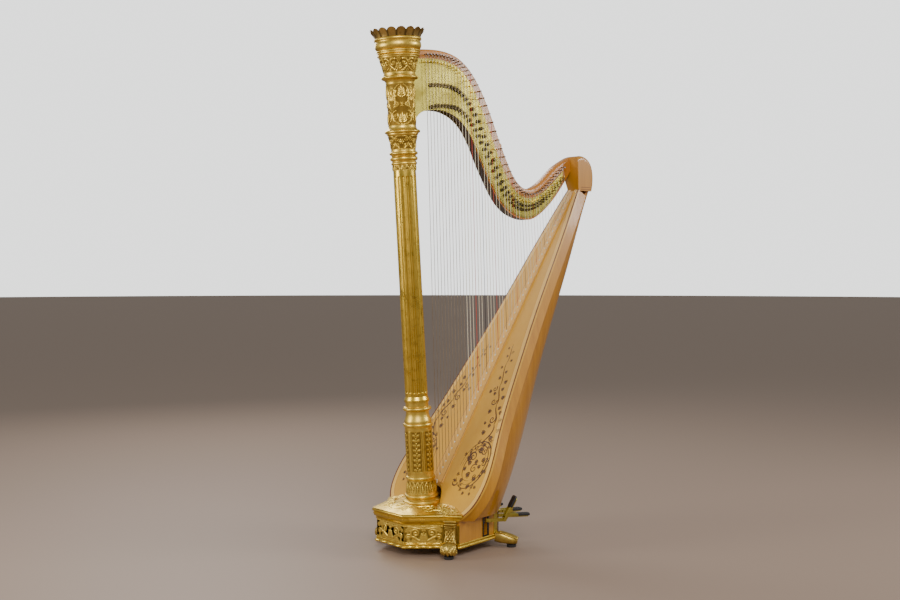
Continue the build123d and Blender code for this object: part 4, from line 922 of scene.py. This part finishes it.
def build_front_feet():
    path = front_foot_path()
    width = [float(np.interp(up, [8, 30, 50, 64, 124], [52, 54, 46, 34, 34])) for _, up, _ in path]
    for side, name in SIDES:
        where = foot_place((FACET_MIDDLE[0], side * FACET_MIDDLE[1]), side * FACET_ANGLE)
        shape = bmesh.new()
        strip_sweep(shape, path, width, where)
        for up, tall, out, wide in FOOT_RINGS:
            strip_sweep(shape, [(1, up, tall), (out, up, tall), (out + 1.5, up, tall * 0.6)],
                        [wide, wide, wide - 6], where)
        strokes = [[(x * (0.8 + 0.2 * abs(math.cos(up))), up + 4, 2.6), (x, up - 1, 3.6), (x, up - 4, 2.4)]
                   for row, up in enumerate(range(98, 56, -7))
                   for x in ((-11, 0, 11) if row % 2 else (-6, 6))]
        strokes += [[(side_x, 98, 1.8), (side_x, 76, 1.8), (side_x * 1.1, 60, 2.2)] for side_x in (-15, 15)]
        strokes += leaf(0, 60, -90, 50, 26, 5) + leaf(-15, 52, -100, 36, 12, 4) + leaf(15, 52, -80, 36, 12, 4)
        strokes = [[(x, y, r * 1.15) for x, y, r in stroke] for stroke in strokes]
        carving = stroke_solid(strokes, 0.9)
        move_all(carving, lambda co: where(foot_front(co.y) - 1.6 - 0.004 * co.x * co.x + co.z, co.x, co.y))
        for edge in (-1, 1):
            coil = stroke_solid([scroll(37, 31, 19, 100, 1.5, 3.0, -1),
                                 sweep((14, 106), (9, 88), (6, 66), (24, 50), 2.6)], 0.9)
            move_all(coil, lambda co: where(co.x, edge * (read_off(FOOT_COIL, co.y) + co.z), co.y))
            merge_into(shape, coil)
        merge_into(shape, carving)
        add_piece(f"front_foot_{name}", shape, ["gilt_dark"],
                  stands_for=["front_feet"] if side < 0 else [], sharp=50)


def merge_into(shape, extra):
    """Add one bmesh to another and free it."""
    mesh = bpy.data.meshes.new("part")
    extra.to_mesh(mesh)
    extra.free()
    shape.from_mesh(mesh)
    bpy.data.meshes.remove(mesh)


def build_rear_feet():
    for side, name in SIDES:
        where = foot_place((REAR_FOOT[0], side * REAR_FOOT[1]), side * REAR_FOOT_ANGLE)
        shape = bmesh.new()
        path = smooth_line([(2, 36, 34), (24, 33, 38), (48, 28, 32), (70, 24, 26), (84, 22, 17)], 14)
        strip_sweep(shape, path, [30, 32, 34, 36, 37, 38, 39, 40, 41, 41, 40, 38, 34, 26], where)
        toes = []
        for k in (-1.5, -0.5, 0.5, 1.5):
            toes += [sweep((26, k * 7), (40, k * 9), (60, k * 10), (84, k * 9.5), 5.0, 0.7)]
            toes += [[(84, k * 9.5, 3.6), (86.5, k * 9.5, 1.6)]]
        fur = leaf(10, 0, 0, 42, 17, 4)
        top = stroke_solid(toes + fur, 0.7)
        move_all(top, lambda co: where(co.x, co.y, read_off(PAW_TOP, co.x) + co.z))
        merge_into(shape, top)
        add_piece(f"rear_foot_{name}", shape, ["gilt_dark"],
                  stands_for=["rear_feet"] if side < 0 else [], sharp=50)


# ---------------------------------------------------------------- rear corner plates
def build_corner_plates():
    """A brass strip down each rear corner of the box, from the side round to the back."""
    for side, name in SIDES:
        corner = Vector(BASE_PLAN[3])
        along = (corner - Vector(BASE_PLAN[2])).normalized()
        back = Vector((0.42, -0.91)).normalized()
        plan = [corner - along * 20, corner, corner + back * 9]
        outside = [p + Vector((-along.y, along.x)) * 1.4 for p in plan[:2]]
        outside.append(plan[2] + Vector((0.91, 0.42)) * 1.4)
        ring = outside + plan[::-1]
        shape = bmesh.new()
        loft(shape, [[place(p.x, side * p.y, z) for p in ring] for z in (48.5, 125.0)])
        add_piece(f"corner_plate_{name}", shape, ["brass"])


# ---------------------------------------------------------------- soundbox
BOARD_LINE = smooth_line(BOARD_EDGE, 90)


def edge_strip(name, finish, inset, width, lift):
    """A thin inlaid strip that follows the edge of the board on both sides."""
    shape = bmesh.new()
    points = BOARD_LINE
    for side in (-1, 1):
        rings = []
        for i, (s, y) in enumerate(points):
            ds, dy, size = step_at(points, i)
            ns, ny = dy / size, -ds / size
            ring = []
            for off, up in ((inset, -1.0), (inset, lift), (inset + width, lift), (inset + width, -1.0)):
                ring.append(on_board(s + ns * off, side * max(8, y + ny * off), up))
            rings.append(ring)
        loft(shape, rings)
    add_piece(name, shape, [finish])


LEAF_SHARE = 0.42
OVAL_LEAVES = [
    (150, 112, 40, 34), (108, 146, 160, 28), (186, 158, 20, 34), (92, 200, 240, 24),
    (120, 212, 90, 22), (60, 176, 190, 20), (80, 130, 200, 22), (166, 190, 110, 24),
    (138, 140, -60, 24), (160, 168, 200, 22), (110, 116, 20, 20), (60, 210, 120, 16),
    (32, 170, 210, 16), (34, 200, 150, 14), (216, 160, 60, 20), (142, 186, 150, 20),
]
STEM_LEAVES = [
    (246, 172, 70, 26), (262, 138, -60, 24), (276, 196, 50, 24), (290, 150, -40, 20),
    (318, 182, 60, 24), (346, 168, 40, 22), (346, 118, -50, 22), (366, 150, 60, 20),
    (408, 142, 55, 22), (420, 100, -50, 18), (426, 70, -40, 18), (440, 122, 40, 18),
    (470, 120, 40, 20), (484, 86, -30, 18), (512, 98, 40, 16), (530, 70, -40, 14), (562, 98, 50, 14),
    (578, 72, -40, 13), (612, 60, -40, 12), (300, 120, -50, 16),
]


def cartouche_strokes():
    """The painted oval of scrolls low on each half of the board, with its stem of curls above."""
    made = []
    for grow, width, first, sweep_by in ((1.0, 2.6, 240, 330), (0.84, 1.5, 200, 290), (0.68, 1.3, 60, 250)):
        ring = []
        for i in range(44):
            a = math.radians(first - sweep_by * i / 43)
            ring.append((138 + grow * (94 * math.cos(a) + 12 * math.sin(a)), 158 + grow * 72 * math.sin(a),
                         0.6 + width * math.sin(math.pi * i / 43) ** 1.5))
        made.append(ring)
    made += [sweep((62, 116), (44, 112), (44, 88), (62, 86), 3.2), scroll(66, 92, 8, 270, 1.0, 2.2, 1),
             scroll(168, 136, 26, 200, 1.6, 3.0, 1), scroll(124, 166, 20, 30, 1.4, 2.6, -1),
             scroll(196, 186, 15, 250, 1.3, 2.4, -1), scroll(96, 190, 14, 120, 1.2, 2.2, 1),
             scroll(150, 206, 12, 40, 1.2, 2.0, 1), scroll(206, 134, 12, 300, 1.2, 2.0, -1)]
    for i in range(16):
        a = math.radians(250 - 315 * i / 15)
        s, y = 138 + 94 * math.cos(a) + 12 * math.sin(a), 158 + 72 * math.sin(a)
        made += leaf(s, y, math.degrees(a) + (40 if i % 2 else -150), 17 + 5 * (i % 3), 8, 2)
    for s, y, angle, size in OVAL_LEAVES:
        made += leaf(s, y, angle, size, size * LEAF_SHARE, 3)
    made += [sweep((230, 150), (254, 168), (280, 190), (306, 166), 3.4),
             scroll(322, 146, 19, 40, 1.3, 2.8, 1),
             sweep((306, 166), (334, 178), (350, 136), (384, 132), 3.0),
             scroll(392, 110, 17, 60, 1.3, 2.6, 1),
             sweep((384, 132), (412, 138), (432, 104), (462, 104), 2.6), scroll(444, 84, 13, 30, 1.2, 2.2, 1),
             sweep((462, 104), (492, 106), (516, 80), (556, 82), 2.2),
             sweep((556, 82), (580, 90), (600, 72), (634, 72), 1.8), scroll(600, 92, 8, 200, 1.1, 1.5, 1)]
    for s, y, angle, size in STEM_LEAVES:
        made += leaf(s, y, angle, size, size * LEAF_SHARE, 3)
    return made


def build_board_ornament():
    # painted shade: a dark strip along the board's edge stands for the groove between board and body
    edge_strip("board_groove_shade", "dark_line", 0.4, 5.6, 0.45)
    edge_strip("board_light_band", "light_line", 6.2, 17.0, 0.3)
    edge_strip("board_fine_line", "rim", 23.4, 1.4, 0.35)
    for side, name in SIDES:
        shape = stroke_solid(cartouche_strokes(), 0.12, 1)
        move_all(shape, lambda co: on_board(co.x, side * co.y, 0.12 + co.z))
        add_piece(f"painted_scrolls_{name}", shape, ["paint"])
    shape = bmesh.new()
    for side in (-1, 1):
        rings = []
        for i in range(41):
            s = RIB_LINE_LOW + (RIB_LINE_HIGH - RIB_LINE_LOW) * i / 40
            half = RIB_HALF_LOW + (RIB_HALF_HIGH - RIB_HALF_LOW) * (s - RIB_LOW) / (RIB_HIGH - RIB_LOW)
            rings.append([on_board(s, side * (half - inset), lift)
                          for inset, lift in ((3.2, 3.9), (3.2, 4.25), (1.9, 4.25), (1.9, 3.9))])
        loft(shape, rings)
    add_piece("rib_lines", shape, ["dark_line"])


def build_shoulder_rings():
    """The double dark line where the shoulder meets the soundbox."""
    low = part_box("shoulder_block")[0]
    front, back = place(SHOULDER_FRONT, 0, 0).x, place(SHOULDER_BACK, 0, 0).x
    ring = [(front, -SHOULDER_HALF), (back, -SHOULDER_HALF), (back, SHOULDER_HALF), (front, SHOULDER_HALF)]
    shape = bmesh.new()
    for up in (0.006, 0.014):
        z = low.z + up
        loft(shape, [[Vector((x, y, z + dz)) for x, y in ring] for dz in (-0.0008, 0.0008)])
    round_edges(shape, [e for e in shape.edges if abs((e.verts[0].co - e.verts[1].co).z) > 0.001], 0.015, 5)
    add_piece("shoulder_rings", shape, ["dark_line"])


# ---------------------------------------------------------------- neck
def build_neck():
    top = smooth_line(NECK_TOP, 90)
    outline = top + smooth_line(NECK_LOW, 90)
    shape = bmesh.new()
    face = shape.faces.new([shape.verts.new(place(x, NECK_FACE, z)) for x, z in outline])
    made = bmesh.ops.extrude_face_region(shape, geom=[face])
    moved = [v for v in made["geom"] if isinstance(v, bmesh.types.BMVert)]
    bmesh.ops.translate(shape, verts=moved, vec=(0, (NECK_BACK - NECK_FACE) * MM, 0))
    bmesh.ops.recalc_face_normals(shape, faces=shape.faces)
    shape.edges.ensure_lookup_table()
    tops = {(round(x, 2), round(z, 2)) for x, z in top}

    def on_top(v):
        return (round((v.co.x - SHIFT) / MM, 2), round(v.co.z / MM, 2)) in tops

    rim = [e for e in shape.edges if all(on_top(v) for v in e.verts)
           and abs(e.verts[0].co.y - e.verts[1].co.y) < 0.001]
    round_edges(shape, rim, 0.009, 5)
    # painted shade: faces turned downward take the dark finish, as the neck's underside
    for f in shape.faces:
        if f.normal.z < -0.25 and abs(f.normal.y) < 0.3:
            f.material_index = 1
    add_piece("rounded_neck", shape, ["neck", "engraving_and_shade"], stands_for=["neck"],
              sharp=40)


def build_plate_edges():
    """Fine engraved border lines on the near action plate."""
    low = smooth_line(NECK_LOW, 120)
    line = [p for p in low if 60 < p[0] < 690]
    strokes = []
    for off in (9.0, 12.0):
        run = []
        for i, (x, z) in enumerate(line):
            dx, dz, size = step_at(line, i)
            run.append((x + dz / size * off, z - dx / size * off, 0.5))
        strokes.append(run)
    shape = stroke_solid(strokes, 0.5, 1)
    move_all(shape, lambda co: place(co.x, PLATE_FACE_Y - co.z, co.y))
    add_piece("plate_border", shape, ["engraving_and_shade"])


# ---------------------------------------------------------------- pedals
def build_pedal_pads():
    """Ridged rubber pads, and the raised sides of the brass channels that carry them."""
    for joint in frame["joints"]:
        if not joint["name"].startswith("pedal_tip_"):
            continue
        body = joint["child"]
        pivot = Vector(joint["pos_m"])
        axis = Vector(joint["axis"])
        out = Vector((-axis.y, axis.x, 0))
        folded = -math.radians(joint["range_deg"][0])
        turn = Matrix.Translation(pivot) @ Matrix.Rotation(folded, 4, axis)
        basis = Matrix((out, -axis, Vector((0, 0, 1)))).transposed().to_4x4()
        shape = bmesh.new()
        bmesh.ops.create_cube(shape, size=1.0)
        bmesh.ops.scale(shape, vec=PAD_SIZE, verts=shape.verts)
        upright = [e for e in shape.edges if abs(e.verts[0].co.z - e.verts[1].co.z) > 0.005]
        round_edges(shape, upright, 0.0105, 6)
        rim = [e for e in shape.edges if abs(e.verts[0].co.z - e.verts[1].co.z) < 0.001]
        round_edges(shape, rim, 0.0014, 2)
        ribs = stroke_solid([[(x, -12.5, 1.0), (x, 12.5, 1.0)] for x in range(-18, 19, 4)], 1.0, 1)
        on_pad = Matrix.Translation((0, 0, 0.0041)) @ Matrix.Scale(MM, 4)
        bmesh.ops.transform(ribs, matrix=on_pad, verts=ribs.verts)
        merge_into(shape, ribs)
        bmesh.ops.translate(shape, verts=shape.verts, vec=PAD_CENTRE)
        bmesh.ops.transform(shape, matrix=turn @ basis, verts=shape.verts)
        add_piece(f"{body}_rubber", shape, ["pad_rubber"], body=body)
        shape = bmesh.new()
        for edge in (-1, 1):
            line = [(8, 0.5, 11), (16, 0.5, 14), (44, 0.5, 14), (60, -2.0, 9), (72, -3.5, 5)]
            strip_sweep(shape, line, [3.2] * len(line),
                        lambda out, across, up: Vector((out, edge * CHANNEL_HALF + across, up)) * MM)
        groove = stroke_solid([[(12, 0, 2.2), (46, 0, 2.2)]], 1.0, 1)
        on_channel = Matrix.Scale(MM, 4) @ Matrix.Translation((0, 0, 0.8))
        bmesh.ops.transform(groove, matrix=on_channel, verts=groove.verts)
        merge_into(shape, groove)
        bmesh.ops.transform(shape, matrix=turn @ basis, verts=shape.verts)
        add_piece(f"{body}_channel", shape, ["brass"], body=body)


# ---------------------------------------------------------------- operators and panel
class HarpStage(bpy.types.PropertyGroup):
    floor_colour: bpy.props.FloatVectorProperty(
        name="Floor", description="Colour of the floor", subtype="COLOR", size=4, default=tone(150, 128, 112))
    light: bpy.props.FloatProperty(name="Light", description="Power of the key light in watts", default=130.0,
                                   min=0.0)
    backdrop: bpy.props.FloatProperty(name="Backdrop", description="Brightness behind the harp", default=2.4,
                                      min=0.0)


class HARP_OT_stage(bpy.types.Operator):
    """Make the floor, the lights and the camera"""
    bl_idname = "harp.stage"
    bl_label = "Stage"

    def execute(self, context):
        options = context.scene.harp_stage
        shape = bmesh.new()
        bmesh.ops.create_circle(shape, cap_ends=True, segments=96, radius=40.0)
        mesh = bpy.data.meshes.new("floor")
        shape.to_mesh(mesh)
        shape.free()
        material = bpy.data.materials.new("Floor")
        material.use_nodes = True
        shader = material.node_tree.nodes["Principled BSDF"]
        shader.inputs["Base Color"].default_value = options.floor_colour
        shader.inputs["Roughness"].default_value = 0.55
        mesh.materials.append(material)
        floor = bpy.data.objects.new("floor", mesh)
        floor.location.z = CAD_BOX[0][2]
        context.scene.collection.objects.link(floor)
        for name, at, size, power, colour in (
                ("key", (-2.6, -3.4, 3.2), 1.6, options.light, (1.0, 0.97, 0.92)),
                ("window", (2.8, -2.4, 2.6), 1.4, options.light * 0.55, (0.95, 0.97, 1.0)),
                ("back", (0.6, 3.6, 3.0), 2.0, options.light * 0.6, (1.0, 1.0, 1.0)),
                ("side", (-3.4, 1.2, 1.6), 1.2, options.light * 0.4, (1.0, 0.98, 0.94))):
            data = bpy.data.lights.new(name, "AREA")
            data.size = size
            data.energy = power
            data.color = colour
            light = bpy.data.objects.new(name, data)
            light.location = at
            light.rotation_euler = (Vector(LIGHTS_AIM) - Vector(at)).to_track_quat("-Z", "Y").to_euler()
            context.scene.collection.objects.link(light)
        world = bpy.data.worlds.new("studio")
        context.scene.world = world
        world.use_nodes = True
        tree = world.node_tree
        seen = tree.nodes["Background"]
        seen.inputs["Color"].default_value = tone(232, 233, 232)
        seen.inputs["Strength"].default_value = options.backdrop
        lit = add_node(tree, "ShaderNodeBackground", [("Color", tone(226, 224, 220)), ("Strength", 0.5)])
        path = add_node(tree, "ShaderNodeLightPath")
        links = [(0, path.outputs["Is Camera Ray"]), (1, lit.outputs[0]), (2, seen.outputs[0])]
        mixed = add_node(tree, "ShaderNodeMixShader", links)
        tree.links.new(mixed.outputs[0], tree.nodes["World Output"].inputs["Surface"])
        data = bpy.data.cameras.new("camera")
        data.lens, data.sensor_width = 52.0, 36.0
        data.clip_end = 100.0
        camera = bpy.data.objects.new("camera", data)
        camera.location = place(*CAMERA_AT)
        camera.rotation_euler = (math.radians(90 - CAMERA_DIP), 0, math.radians(-CAMERA_TURN))
        context.scene.collection.objects.link(camera)
        context.scene.camera = camera
        return {"FINISHED"}


class HARP_OT_finishes(bpy.types.Operator):
    """Make every finish and give one to each part of the packed model"""
    bl_idname = "harp.finishes"
    bl_label = "Finishes"

    def execute(self, context):
        FINISH.update(make_finishes())
        for name, node in NODES.items():
            node.data.materials.clear()
            node.data.materials.append(FINISH[finish_of(name)])
        return {"FINISHED"}


def piece_operator(name, label, words, builders):
    """An operator that makes one group of like pieces."""
    def execute(self, context):
        for build in builders:
            build()
        return {"FINISHED"}
    return type(f"HARP_OT_{name}", (bpy.types.Operator,), {
        "__doc__": words, "bl_idname": f"harp.{name}", "bl_label": label, "execute": execute})


PIECES = [
    piece_operator("column", "Column", "Turn and carve the drum, the capital and the crown",
                   [build_drum, build_capital, build_crown]),
    piece_operator("base", "Base", "Mould the casing and the lip, carve the panels and plate the corners",
                   [build_casing, build_panels, build_base_top_carving, build_bottom_lip,
                    build_corner_plates]),
    piece_operator("feet", "Feet", "Model the console feet and the paw feet",
                   [build_front_feet, build_rear_feet]),
    piece_operator("soundbox", "Soundbox", "Inlay and paint the board and ring the shoulder",
                   [build_board_ornament, build_shoulder_rings]),
    piece_operator("neck", "Neck", "Round the neck and line the action plate",
                   [build_neck, build_plate_edges]),
    piece_operator("pedals", "Pedals", "Add the rubber pads and the channel sides to the pedals",
                   [build_pedal_pads]),
]


class HARP_PT_panel(bpy.types.Panel):
    """The steps that finish the harp"""
    bl_idname = "HARP_PT_panel"
    bl_label = "Harp"
    bl_space_type = "VIEW_3D"
    bl_region_type = "UI"
    bl_category = "Harp"

    def draw(self, context):
        options = context.scene.harp_stage
        for name in ("floor_colour", "light", "backdrop"):
            self.layout.prop(options, name)
        for operator in (HARP_OT_stage, HARP_OT_finishes, *PIECES):
            self.layout.operator(operator.bl_idname)


CLASSES = [HarpStage, HARP_OT_stage, HARP_OT_finishes, *PIECES, HARP_PT_panel]


def register():
    for cls in CLASSES:
        bpy.utils.register_class(cls)
    bpy.types.Scene.harp_stage = bpy.props.PointerProperty(type=HarpStage)


def unregister():
    del bpy.types.Scene.harp_stage
    for cls in reversed(CLASSES):
        bpy.utils.unregister_class(cls)


def main():
    register()
    bpy.ops.harp.stage()
    bpy.ops.harp.finishes()
    for operator in PIECES:
        getattr(bpy.ops.harp, operator.bl_idname.split(".")[1])()


if __name__ == "__main__":
    main()
